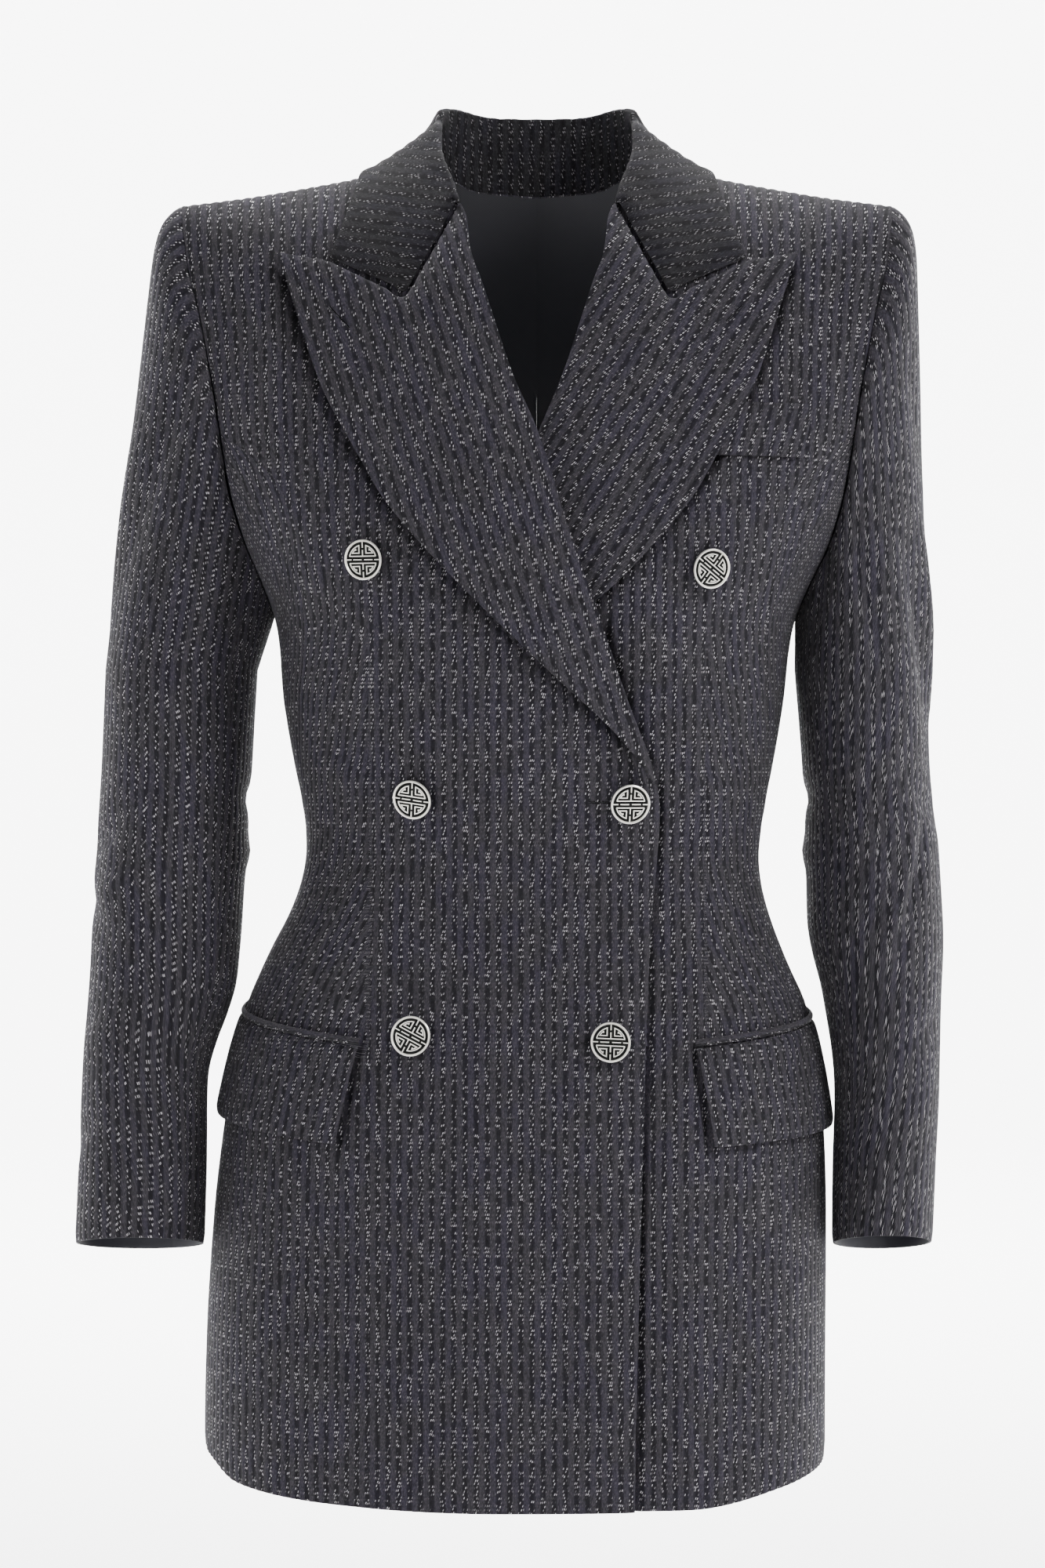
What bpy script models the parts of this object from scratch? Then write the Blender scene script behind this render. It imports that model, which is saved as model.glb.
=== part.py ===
"""A women's double-breasted blazer, hollow as worn, with peak lapels and flap pockets.

Metres, +Z up. The front faces -Y and the wearer's right is at -X. The origin lies midway between
the two points where the shoulder seams meet the neck.
"""
import bpy
import bmesh
import math
from mathutils import Vector

# Cloth
WALL = 0.0020            # body and sleeve cloth with its lining
TURNED_WALL = 0.0018     # lapels and flaps
COLLAR_WALL = 0.0013     # collar, whose stand and fall lie close together
TRIM_WALL = 0.0012       # welt and jets
SEAM_GAP = 0.0003        # between neighbouring pieces
ROUNDNESS = 2.3          # exponent of the body's level sections, 2 is an ellipse

# Length from the neck to the hem
SHOULDER_Y = 0.005       # the shoulder seam lies just behind the middle of the neck
SHOULDER_DROP = 0.14     # depth over which the cloth turns over the shoulder
SHOULDER_TOP = 0.000002  # depth of the first row, which leaves the seam's gap between front and back
TIP_T = 62.4             # angle of the shoulder's tip round the body, in degrees from the front
BREAK_Z = -0.375         # where the roll line of the lapels ends
LEVEL_TOP = 0.300        # depth below which all rows of the body are level

# Rows of the body, as depths below the shoulder line
SHOULDER_ROWS = [SHOULDER_TOP, 0.002, 0.006, 0.012, 0.019, 0.0265, 0.037, 0.051, 0.069, 0.092, 0.118, 0.143]
LEVEL_ROWS = [0.320, 0.342, 0.364, 0.384, 0.404, 0.424, 0.444, 0.464, 0.486, 0.512, 0.545, 0.585, 0.640, 0.705]
WEDGE_ROWS = 9           # between a side seam's start on the armhole and the level rows
PRINCESS_TOP = 0.165     # depth where the front's side seam leaves the armhole
SIDEBACK_TOP = 0.215     # depth where the back's side seam leaves it
HEM_DEPTH = 0.760        # depth at which the seams' angles at the hem are taken

# Level sections of the body: height, sideways centre, half width, front depth, back depth
BODY = [
    (-0.785, -0.0130, 0.1815, 0.1270, 0.1270),
    (-0.755, -0.0130, 0.1815, 0.1270, 0.1270),
    (-0.700, -0.0125, 0.1812, 0.1265, 0.1265),
    (-0.620, -0.0100, 0.1792, 0.1245, 0.1240),
    (-0.569, -0.0078, 0.1757, 0.1215, 0.1190),
    (-0.530, -0.0068, 0.1708, 0.1165, 0.1120),
    (-0.496, -0.0062, 0.1635, 0.1115, 0.1050),
    (-0.477, -0.0065, 0.1555, 0.1075, 0.0985),
    (-0.459, -0.0060, 0.1475, 0.1045, 0.0935),
    (-0.441, -0.0045, 0.1397, 0.1020, 0.0885),
    (-0.422, -0.0034, 0.1342, 0.1005, 0.0845),
    (-0.404, -0.0025, 0.1322, 0.1005, 0.0815),
    (-0.385, -0.0018, 0.1345, 0.1025, 0.0810),
    (-0.349, -0.0020, 0.1412, 0.1120, 0.0850),
    (-0.312, -0.0020, 0.1470, 0.1205, 0.0905),
    (-0.290, -0.0015, 0.1488, 0.1245, 0.0945),
    (-0.268, -0.0010, 0.1530, 0.1270, 0.0980),
    (-0.250, -0.0005, 0.1625, 0.1277, 0.1005),
    (-0.230, 0.0000, 0.1755, 0.1270, 0.1025),
    (-0.205, 0.0000, 0.1890, 0.1240, 0.1045),
    (-0.180, 0.0000, 0.1980, 0.1185, 0.1060),
    (-0.150, 0.0000, 0.2060, 0.1100, 0.1065),
    (-0.110, 0.0000, 0.2150, 0.0985, 0.1045),
    (-0.060, 0.0000, 0.2255, 0.0860, 0.0980),
    (-0.020, 0.0000, 0.2320, 0.0780, 0.0930),
    (0.040, 0.0000, 0.2380, 0.0740, 0.0900),
]

# Height of the shoulder line at a distance from the middle
SHOULDER = [
    (0.000, 0.0110), (0.060, 0.0000), (0.102, -0.0105), (0.1385, -0.0174),
    (0.170, -0.0225), (0.208, -0.0272), (0.240, -0.0310),
]

# Armhole: turn round the sleeve from the shoulder's tip, angle round the body, height
ARMHOLE = [
    (0, 62.4, -0.0272), (5, 62.6, -0.0292), (10, 62.8, -0.0352), (15, 63.0, -0.045), (30, 63.0, -0.066),
    (50, 61.9, -0.094), (70, 61.6, -0.122),
    (90, 62.2, -0.152), (105, 64.3, -0.180), (120, 67.1, -0.205), (135, 72.0, -0.2285),
    (150, 77.3, -0.248), (165, 84.0, -0.2615), (180, 91.0, -0.268), (195, 97.0, -0.2650),
    (210, 102.5, -0.2550), (225, 107.5, -0.238), (240, 112.0, -0.215), (255, 115.0, -0.190),
    (270, 117.0, -0.162), (290, 118.0, -0.128), (310, 118.2, -0.095), (330, 117.8, -0.063),
    (345, 117.4, -0.043), (350, 117.4, -0.0342), (355, 117.5, -0.0289), (360, 117.6, -0.0272),
]
PRINCESS_TURN = 97.0     # where the front's side seam leaves the armhole
SIDEBACK_TURN = 240.0    # where the back's side seam leaves it

# Seams down the body: height, angle round the body
PRINCESS = [
    (-0.790, 84.0), (-0.560, 84.0), (-0.440, 84.5), (-0.400, 82.5), (-0.370, 78.0), (-0.340, 71.0),
    (-0.302, 63.8), (-0.265, 58.4), (-0.2365, 50.3), (-0.2135, 46.0), (-0.2015, 46.7), (-0.186, 50.2),
    (-0.177, 55.0), (-0.165, 63.2),
]
SIDEBACK = [
    (-0.790, 126.0), (-0.600, 126.0), (-0.480, 127.0), (-0.400, 129.0), (-0.340, 127.0),
    (-0.300, 123.0), (-0.250, 117.0), (-0.215, 112.0),
]

# Front edge from the neck down the roll line and the overlap: height, distance past the middle
FRONT_EDGE = [
    (-0.790, 0.0545), (-0.700, 0.0562), (-0.600, 0.0590), (-0.500, 0.0620), (-0.440, 0.0655),
    (-0.405, 0.0685), (-0.385, 0.0700), (-0.372, 0.0690), (-0.352, 0.0625), (-0.322, 0.0510),
    (-0.272, 0.0340), (-0.220, 0.0165), (-0.170, 0.0005), (-0.136, -0.0140), (-0.099, -0.0260),
    (-0.080, -0.0320), (-0.061, -0.0385), (-0.041, -0.0410), (-0.031, -0.0450), (-0.020, -0.0580),
    (-0.010, -0.0640), (-0.005, -0.0658), (-0.0015, -0.0665),
]
# Back neckline: depth below the shoulder line, distance from the middle
BACK_NECK = [
    (0.0, 0.0665), (0.0038, 0.0610), (0.0120, 0.0470), (0.0225, 0.0260), (0.0258, 0.0110), (0.0265, 0.0),
]
# Hem height at an angle round the body, for the wearer's right (negative) and left
HEM = [
    (-180, -0.762), (-120, -0.758), (-90, -0.7525), (-75, -0.757), (-60, -0.768), (-30, -0.7755),
    (0, -0.7785), (30, -0.7785), (55, -0.7700), (75, -0.7630), (90, -0.7590), (120, -0.760), (180, -0.762),
]

# Lapel corners on the wearer's right, as distance from the middle and height
GORGE = (-0.0450, -0.0310)
NOTCH = (-0.0749, -0.0903)
COLLAR_TIP = (-0.1195, -0.0680)
PEAK = (-0.1487, -0.0635)
# The lapel's own top edge, a seam gap below the collar's end
LAPEL_TOP = [(-0.0441, -0.0335), (-0.0746, -0.0913), (-0.1198, -0.0687), PEAK]
# Lapel's outer edge from the peak to the break
LAPEL_EDGE = [
    (0.00, -0.1487, -0.0635), (0.06, -0.1435, -0.0770), (0.15, -0.1350, -0.1030), (0.27, -0.1215, -0.1410),
    (0.40, -0.0990, -0.1830), (0.47, -0.0871, -0.2035), (0.58, -0.0573, -0.2390), (0.67, -0.0279, -0.2690),
    (0.78, 0.0040, -0.2993), (0.91, 0.0505, -0.3440), (0.97, 0.0650, -0.3650), (1.00, 0.0690, -0.3755),
]

# Layers of the double-breasted front, outwards of the body's surface
OVER_LIFT = 0.0020       # the right front over the left
UNDER_SINK = 0.0036      # the left front below it
LAPEL_LIFT = 0.0036      # a lapel's face above its front
LAPEL_ROLL = 0.0028      # more of it where it rolls
LAPEL_UNDER = 0.0027     # face of the left lapel above its front, below the right front

# Collar stations: neckline x, its depth (front positive), fold from it (x, y, z), edge x, its depth
COLLAR = [
    (0.0000, -0.0265, 0.0000, 0.0010, 0.0470, 0.0000, -0.0400),
    (-0.0260, -0.0225, -0.0010, 0.0010, 0.0475, -0.0400, -0.0385),
    (-0.0470, -0.0120, 0.0020, -0.0020, 0.0430, -0.0720, -0.0290),
    (-0.0610, -0.0038, 0.0070, -0.0030, 0.0345, -0.0930, -0.0140),
    (-0.0665, 0.0000, 0.0120, 0.0000, 0.0220, -0.1020, 0.0005),
    (-0.0645, 0.0080, 0.0105, 0.0000, 0.0105, -0.1055, 0.0130),
    (-0.0580, 0.0190, 0.0096, -0.0045, 0.0035, -0.1110, 0.0320),
    (-0.0450, 0.0345, 0.0015, -0.0048, 0.0015, -0.1195, 0.0565),
]
COLLAR_EDGE_LIFT = 0.0042
STAND_GAP = 0.0008       # between the neckline and the stand's foot, at most
FOLD_RADIUS = 0.0030     # of the collar's face where stand turns into fall

# Sleeves: height, sideways centre, half width, depth centre, half depth, tilt of the section
SLEEVE_RIGHT = [
    (-0.300, -0.2088, 0.0445, 0.0060, 0.0610, 0.00),
    (-0.360, -0.2118, 0.0440, 0.0060, 0.0585, 0.00),
    (-0.420, -0.2155, 0.0440, 0.0020, 0.0560, 0.03),
    (-0.480, -0.2188, 0.0430, -0.0050, 0.0530, 0.08),
    (-0.540, -0.2290, 0.0365, -0.0140, 0.0490, 0.12),
    (-0.590, -0.2298, 0.0372, -0.0220, 0.0450, 0.15),
    (-0.634, -0.2310, 0.0375, -0.0290, 0.0430, 0.16),
]
SLEEVE_LEFT = [
    (-0.300, 0.1905, 0.0388, 0.0060, 0.0640, 0.00),
    (-0.360, 0.1935, 0.0372, 0.0060, 0.0620, 0.00),
    (-0.404, 0.1968, 0.0388, 0.0040, 0.0600, 0.02),
    (-0.450, 0.1985, 0.0395, 0.0000, 0.0570, 0.05),
    (-0.490, 0.2020, 0.0345, -0.0060, 0.0560, 0.08),
    (-0.540, 0.2045, 0.0305, -0.0110, 0.0540, 0.12),
    (-0.590, 0.2025, 0.0298, -0.0170, 0.0510, 0.15),
    (-0.634, 0.2010, 0.0290, -0.0230, 0.0490, 0.16),
]
SLEEVE_HEAD = 0.0140     # how far the sleeve head rolls out past the shoulder seam
SLEEVE_HEAD_ROUND = 0.008   # length over which it rolls
SLEEVE_CLEAR = 0.0010    # from the armhole's line to the sleeve's first row
# Rows of a sleeve: 0 at the armhole, 1 at the upper arm, 2 at the cuff
SLEEVE_ROWS = [0.0, 0.02, 0.045, 0.085, 0.16, 0.27, 0.42, 0.60, 0.80]
SLEEVE_ROWS += [1.0 + k / 11 for k in range(12)]
# Turns round the sleeve from its outside to its seams and the lines between them, in degrees
TOP_TURNS = [-118, -97, -76, -57, -40, -25, -14, -8, -3.5, 0, 3.5, 8, 14, 25, 40, 58, 78, 98, 118, 138]
UNDER_TURNS = [138, 155, 172, 190, 208, 225, 242]

# Hip pocket flaps: side, angle of the front end and the back end, height of the top and the bottom
# at the front end and at the side seam
FLAPS = {
    "right": (-1, 31.2, 97.0, -0.5167, -0.5005, -0.5725, -0.5575),
    "left": (1, 31.8, 97.0, -0.5176, -0.5040, -0.5740, -0.5650),
}
FLAP_LIFT = (0.0024, 0.0062)   # face of the flap above the cloth, at its top and its bottom
JET_HEIGHT = 0.0052
JET_LIFT = 0.0019

# Breast welt: corners as distance from the middle and height
WELT_TOP = (0.0880, 0.1571, -0.1500)
WELT_BOTTOM = (0.0800, 0.1499, -0.1807)
WELT_LIFT = 0.0016

# Half section of a button from its middle out and back to its shank: radius, height over the cloth
BUTTON_SECTION = [
    (0.0, 0.0062), (0.0096, 0.0060), (0.0101, 0.0065), (0.0110, 0.0065), (0.0115, 0.0059),
    (0.0114, 0.0050), (0.0104, 0.0040), (0.0028, 0.0036), (0.0028, 0.0006), (0.0, 0.0006),
]
BUTTON_BACK = 0.0036     # height of a button's back over the cloth
BUTTON_SIDES = 20
# Buttons: distance from the middle, height, lean sideways and upwards in degrees, seat below the face
BUTTONS = {
    "button_top_right": (-0.0959, -0.2395, 0.0, 0.0, 0.0),
    "button_mid_right": (-0.0689, -0.3741, 4.0, 10.0, 0.0),
    "button_low_right": (-0.0703, -0.5109, 3.0, 8.0, 0.0),
    "button_top_left": (0.0962, -0.2443, -4.0, 6.0, 0.0),
    "button_mid_left": (0.0510, -0.3768, 0.0, 0.0, 0.0),
    "button_low_left": (0.0404, -0.5140, -3.0, 4.0, 0.0010),
}


def smooth_rows(rows, key):
    """Values of a table at a key, on a cubic that keeps between its rows."""
    ordered = sorted(rows)
    key = min(max(key, ordered[0][0]), ordered[-1][0])
    index = 0
    while index < len(ordered) - 2 and key > ordered[index + 1][0]:
        index += 1
    low, high = ordered[index], ordered[index + 1]
    before = ordered[max(index - 1, 0)]
    after = ordered[min(index + 2, len(ordered) - 1)]
    span = high[0] - low[0]
    part = (key - low[0]) / span
    values = []
    for column in range(1, len(low)):
        slope = (high[column] - low[column]) / span
        values.append(hermite(low[column], high[column], span, part,
                              end_slope(before, low, slope, column), end_slope(high, after, slope, column)))
    return values


def end_slope(first, second, slope, column):
    """Harmonic mean of two slopes, or none where they differ in sign."""
    if second[0] == first[0]:
        return slope
    other = (second[column] - first[column]) / (second[0] - first[0])
    if other * slope <= 0.0:
        return 0.0
    return 2.0 * other * slope / (other + slope)


def hermite(low, high, span, part, slope_low, slope_high):
    square, cube = part * part, part ** 3
    return ((2 * cube - 3 * square + 1) * low + (cube - 2 * square + part) * span * slope_low
            + (3 * square - 2 * cube) * high + (cube - square) * span * slope_high)


def mix(low, high, part):
    return low + (high - low) * part


def fade(value, start, end):
    """1 at start, 0 at end, smooth between."""
    part = min(max((value - start) / (end - start), 0.0), 1.0)
    return 1.0 - part * part * (3.0 - 2.0 * part)


def shoulder_z(x):
    return smooth_rows(SHOULDER, abs(x))[0]


def row_z(x, depth):
    """Height of a row: it follows the shoulder line at the top and is level further down."""
    return shoulder_z(x) * fade(depth, 0.0, 0.15) - depth


def turn_over(x, z):
    """How far the cloth has turned down from the shoulder line, 0 to 1."""
    depth = min(max(shoulder_z(x) - z, 0.0), SHOULDER_DROP)
    return math.sqrt(1.0 - (1.0 - depth / SHOULDER_DROP) ** 2)


def angle_of(x, z):
    """Angle round the body of a distance from the middle, for the front half."""
    centre, half = smooth_rows(BODY, z)[:2]
    ratio = min(abs(x - centre) / half, 1.0)
    return math.copysign(math.degrees(math.asin(ratio ** (ROUNDNESS / 2.0))), x - centre)


def surface(angle, z):
    """Outer face of the body at an angle from the front, positive to the wearer's left."""
    centre, half, front, back = smooth_rows(BODY, z)
    turn = math.radians(angle)
    across, along = math.sin(turn), math.cos(turn)
    x = centre + math.copysign(half * abs(across) ** (2.0 / ROUNDNESS), across)
    reach = (front if along > 0 else back) * abs(along) ** (2.0 / ROUNDNESS)
    y = -math.copysign(reach, along)
    return Vector((x, mix(SHOULDER_Y, y, turn_over(x, z)), z))


def outward(angle, z, step=0.6, rise=0.0006):
    """Unit normal of the body's outer face."""
    x = surface(angle, z).x
    top = min(z + rise, shoulder_z(x))
    along = surface(angle + step, z) - surface(angle - step, z)
    up = surface(angle, top) - surface(angle, top - 2 * rise)
    normal = along.cross(up).normalized()
    return normal


def placed(angle, z, lift):
    """A point lifted off the body's face, with the face's normal."""
    normal = outward(angle, z)
    return surface(angle, z) + normal * lift, normal


def material(name, colour, roughness, metallic=0.0):
    finish = bpy.data.materials.get(name)
    if finish is None:
        finish = bpy.data.materials.new(name)
        finish.use_nodes = True
        shader = finish.node_tree.nodes["Principled BSDF"]
        shader.inputs["Base Color"].default_value = (*colour, 1.0)
        shader.inputs["Roughness"].default_value = roughness
        shader.inputs["Metallic"].default_value = metallic
    return finish


def cloth():
    return material("cord_cloth", (0.045, 0.045, 0.052), 0.8)


def silver():
    return material("antique_silver", (0.55, 0.53, 0.50), 0.35, 1.0)


def add_object(name, mesh, finish):
    mesh.materials.append(finish)
    mesh.shade_smooth()
    mesh.set_sharp_from_angle(angle=math.radians(40))
    part = bpy.data.objects.new(name, mesh)
    bpy.context.collection.objects.link(part)
    return part


def wall(name, rows, thickness, finish):
    """A closed wall of cloth from rows of (outer point, normal)."""
    form = bmesh.new()
    outer = [[form.verts.new(point) for point, _ in row] for row in rows]
    inner = [[form.verts.new(point - normal * thickness) for point, normal in row] for row in rows]
    last_row, last_column = len(rows) - 1, len(rows[0]) - 1
    for i in range(last_row):
        for j in range(last_column):
            form.faces.new((outer[i][j], outer[i][j + 1], outer[i + 1][j + 1], outer[i + 1][j]))
            form.faces.new((inner[i][j], inner[i + 1][j], inner[i + 1][j + 1], inner[i][j + 1]))
    for i in range(last_row):
        for j in (0, last_column):
            form.faces.new((outer[i][j], outer[i + 1][j], inner[i + 1][j], inner[i][j]))
    for j in range(last_column):
        for i in (0, last_row):
            form.faces.new((outer[i][j], outer[i][j + 1], inner[i][j + 1], inner[i][j]))
    bmesh.ops.recalc_face_normals(form, faces=form.faces)
    mesh = bpy.data.meshes.new(name)
    form.to_mesh(mesh)
    form.free()
    return add_object(name, mesh, finish)


def seam_rows(start):
    """Depths from a seam's start on the armhole to where all rows are level."""
    return [mix(start, LEVEL_TOP, k / WEDGE_ROWS) for k in range(WEDGE_ROWS + 1)]


def hem_rows(angle):
    """The last rows' depths, which reach the hem's own height."""
    bottom = -smooth_rows(HEM, angle)[0]
    return [mix(LEVEL_ROWS[-1], bottom, 0.5), bottom]


def settle_x(depth, table, side):
    """Where a row meets an edge given by its height."""
    x = side * 0.06
    for _ in range(12):
        x = -side * smooth_rows(table, row_z(x, depth))[0]
    return x


def front_inner(depth, side):
    """Front edge of a front panel; a front's edge past the middle has the other side's sign."""
    x = settle_x(depth, FRONT_EDGE, side)
    return angle_of(x, row_z(x, depth))


def armhole_angle(depth, back=False):
    """Angle at which a row meets the armhole."""
    half = [(z, angle) for turn, angle, z in ARMHOLE if (turn >= 180) == back]
    angle = TIP_T if not back else 180 - TIP_T
    for _ in range(8):
        z = row_z(surface(angle, -depth).x, depth)
        angle = smooth_rows(half, z)[0]
    return angle


def overlap_lift(side, x, z):
    """How far a front lies out of the body's face where the two fronts lap."""
    if side < 0:
        return OVER_LIFT * (1.0 - fade(x, -0.125, -0.075)) * fade(z, -0.13, -0.04)
    edge = smooth_rows(FRONT_EDGE, z)[0]
    return -UNDER_SINK * fade(x, edge + 0.004, edge + 0.034) * fade(z, -0.17, -0.12)


def front_lift(side, angle, z):
    return overlap_lift(side, surface(angle, z).x, z)


def panel_row(depth, start, end, columns, lift):
    """Points of one row between two angles."""
    row = []
    for column in range(columns + 1):
        angle = mix(start, end, column / columns)
        z = -depth
        for _ in range(3):
            z = row_z(surface(angle, z).x, depth)
        point, normal = placed(angle, z, lift(angle, z))
        if depth == SHOULDER_TOP:
            normal = Vector((normal.x, 0.0, normal.z)).normalized()
        row.append((point, normal))
    return row


def shrink(start, end, z):
    """Angles of a row's ends, drawn in by half a seam gap."""
    radius = smooth_rows(BODY, z)[1]
    trim = math.degrees(SEAM_GAP / radius)
    return start + math.copysign(trim, end - start), end - math.copysign(trim, end - start)


def front_panel(name, side, columns=8):
    rows = []
    depths = SHOULDER_ROWS + seam_rows(PRINCESS_TOP) + LEVEL_ROWS

    def lift(angle, z):
        return front_lift(side, angle, z)

    for depth in depths:
        if depth < PRINCESS_TOP:
            outer = armhole_angle(depth)
        else:
            outer = smooth_rows(PRINCESS, -depth)[0]
        start, end = shrink(front_inner(depth, side), side * outer, -depth)
        rows.append(panel_row(depth, start, end, columns, lift))
    start, end = shrink(front_inner(HEM_DEPTH, side), side * PRINCESS[0][1], -HEM_DEPTH)
    for step in range(2):
        row = []
        for column in range(columns + 1):
            angle = mix(start, end, column / columns)
            z = -hem_rows(angle)[step]
            row.append(placed(angle, z, lift(angle, z)))
        rows.append(row)
    return wall(name, rows, WALL, cloth())


def back_panel(name, side, columns=7):
    rows = []
    depths = SHOULDER_ROWS + [0.170, 0.190] + seam_rows(SIDEBACK_TOP) + LEVEL_ROWS

    def flat(angle, z):
        return 0.0

    for depth in depths:
        if depth < BACK_NECK[-1][0]:
            x = smooth_rows(BACK_NECK, depth)[0]
        else:
            x = 0.0
        inner = 180 - abs(angle_of(smooth_rows(BODY, -depth)[0] + max(x, SEAM_GAP / 2), -depth))
        outer = armhole_angle(depth, back=True) if depth < SIDEBACK_TOP else smooth_rows(SIDEBACK, -depth)[0]
        end = shrink(side * inner, side * outer, -depth)[1]
        rows.append(panel_row(depth, side * inner, end, columns, flat))
    start = side * inner
    for step in range(2):
        row = []
        for column in range(columns + 1):
            angle = mix(start, end, column / columns)
            row.append(placed(angle, -hem_rows(angle)[step], 0.0))
        rows.append(row)
    return wall(name, rows, WALL, cloth())


def side_panel(name, side, columns=6):
    """From the front's side seam round under the armhole to the back's side seam."""
    tops = []
    for column in range(columns + 1):
        turn = mix(PRINCESS_TURN, SIDEBACK_TURN, column / columns)
        angle, z = smooth_rows(ARMHOLE, turn)
        tops.append((angle, z))
    tops[0] = (smooth_rows(PRINCESS, -PRINCESS_TOP)[0], -PRINCESS_TOP)
    tops[-1] = (smooth_rows(SIDEBACK, -SIDEBACK_TOP)[0], -SIDEBACK_TOP)

    def across(column, z):
        start = smooth_rows(PRINCESS, z)[0]
        end = smooth_rows(SIDEBACK, z)[0]
        start, end = shrink(start, end, z)
        return mix(start, end, column / columns)

    rows = []
    for k in range(WEDGE_ROWS + 1):
        row = []
        for column, (top_angle, top_z) in enumerate(tops):
            z = mix(top_z, -LEVEL_TOP, k / WEDGE_ROWS)
            shift = top_angle - across(column, top_z)
            if column in (0, columns):
                shift = 0.0
            angle = across(column, z) + shift * (1.0 - k / WEDGE_ROWS) ** 2
            row.append(placed(side * angle, z, 0.0))
        rows.append(row)
    for depth in LEVEL_ROWS:
        rows.append([placed(side * across(column, -depth), -depth, 0.0) for column in range(columns + 1)])
    for step in range(2):
        row = []
        for column in range(columns + 1):
            angle = side * across(column, -HEM_DEPTH)
            row.append(placed(angle, -hem_rows(angle)[step], 0.0))
        rows.append(row)
    return wall(name, rows, WALL, cloth())


def polyline(points, part):
    """A point part of the way along straight stretches, by length."""
    lengths = [math.dist(a, b) for a, b in zip(points, points[1:])]
    left = part * sum(lengths)
    for (a, b), length in zip(zip(points, points[1:]), lengths):
        if left <= length or b is points[-1]:
            share = min(left / length, 1.0)
            return mix(a[0], b[0], share), mix(a[1], b[1], share)
        left -= length
    return points[-1]


def lapel_flat(v, u):
    """Where a lapel's point lies over the right front: distance from the middle and height."""
    roll_z = mix(GORGE[1], BREAK_Z, v)
    roll_x = smooth_rows(FRONT_EDGE, roll_z)[0]
    edge_x, edge_z = smooth_rows(LAPEL_EDGE, v)
    x, z = mix(roll_x, edge_x, u), mix(roll_z, edge_z, u)
    top_x, top_z = polyline(LAPEL_TOP, u)
    ease = (1.0 - v) ** 5
    x += (top_x - mix(GORGE[0], PEAK[0], u)) * ease
    z += (top_z - mix(GORGE[1], PEAK[1], u)) * ease
    return x, z


def on_front(side, x, z, height):
    """A point at a height above a front panel's face, mirrored for the wearer's left."""
    x = x if side < 0 else -x
    angle = angle_of(x, z)
    point, normal = placed(angle, z, front_lift(side, angle, z) + height)
    return point, normal


def lapel_height(side, x, z, u, v):
    """Height of a lapel's face above its front."""
    roll = LAPEL_ROLL * math.sin(math.pi * min(u * 1.5 + 0.05, 1.0)) * math.sin(math.pi * v ** 0.5)
    height = LAPEL_LIFT + roll
    if side > 0:
        gap = -x - smooth_rows(FRONT_EDGE, z)[0]
        height = mix(height, LAPEL_UNDER, fade(gap, 0.002, 0.03) * fade(z, -0.16, -0.12))
    return height


def lapel(name, side, rows_count=15):
    turned = [0.0, 0.08, 0.18, 0.31, 0.4576, 0.62, 0.799, 0.90, 1.0]
    rows = []
    for k in range(rows_count + 1):
        v = 0.965 * (k / rows_count) ** 1.1
        row = []
        for u in turned:
            x, z = lapel_flat(v, u)
            height = lapel_height(side, x, z, u, v)
            row.append(on_front(side, x, z, height))
        rows.append(row)
    return wall(name, rows, TURNED_WALL, cloth())


def over_shoulder(x, depth):
    """The body's face at a depth below the shoulder line, behind it where the depth is negative."""
    z = row_z(x, abs(depth))
    angle = angle_of(x, z)
    if depth < 0:
        angle = math.copysign(180.0, x - 1e-9) - angle
    return placed(angle, z, 0.0)


def collar_station(part):
    """One section of the collar, from the stand's foot over the fold to the edge of the fall."""
    rows = [(index, *row) for index, row in enumerate(COLLAR)]
    foot_x, foot_d, fx, fy, fz, edge_x, edge_d = smooth_rows(rows, part)
    foot, foot_normal = over_shoulder(foot_x, foot_d)
    fold = Vector((fx, fy, fz))
    end = len(COLLAR) - 1
    bend = max(part - (end - 3), 0.0) / 3.0
    up = fold.normalized()
    radius = min(FOLD_RADIUS, fold.length * 0.45)
    away = over_shoulder(edge_x, edge_d)[0] - foot
    away = (away - up * away.dot(up)).normalized()
    start = foot + up * min(STAND_GAP, fold.length * 0.1)
    points = [start, start.lerp(foot + fold - up * radius, 0.5)]
    for turn in (0, 60, 120, 180):
        angle = math.radians(turn)
        arc = away * (1.0 - math.cos(angle)) + up * (math.sin(angle) - 1.0)
        points.append(foot + fold + arc * radius)
    start = points[-1] - foot
    for share in (0.12, 0.26, 0.42, 0.5727, 0.72, 0.86, 1.0):
        x, depth = mix(foot_x, edge_x, share), mix(foot_d, edge_d, share)
        if bend > 0:
            gorge_x, gorge_z = polyline([GORGE, NOTCH, COLLAR_TIP], share)
            ease = bend ** 3
            x += (gorge_x - mix(GORGE[0], COLLAR_TIP[0], share)) * ease
            depth -= (gorge_z - mix(GORGE[1], COLLAR_TIP[1], share)) * ease
        ground, normal = over_shoulder(x, depth)
        keep = (1.0 - share) ** (1.5 + bend)
        points.append(ground + start * keep + normal * COLLAR_EDGE_LIFT * (1.0 - keep))
    return points


def collar(name, stations=32):
    """The whole collar, from the wearer's left end round the neck to the right end."""
    end = len(COLLAR) - 1
    grid = []
    for k in range(-stations // 2, stations // 2 + 1):
        part = abs(k) / (stations // 2) * end
        points = collar_station(min(part, end - 0.006))
        if k < 0:
            points = [Vector((-p.x, p.y, p.z)) for p in points]
        grid.append(points)
    rows = with_normals(grid)
    return wall(name, rows, COLLAR_WALL, cloth())


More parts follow.
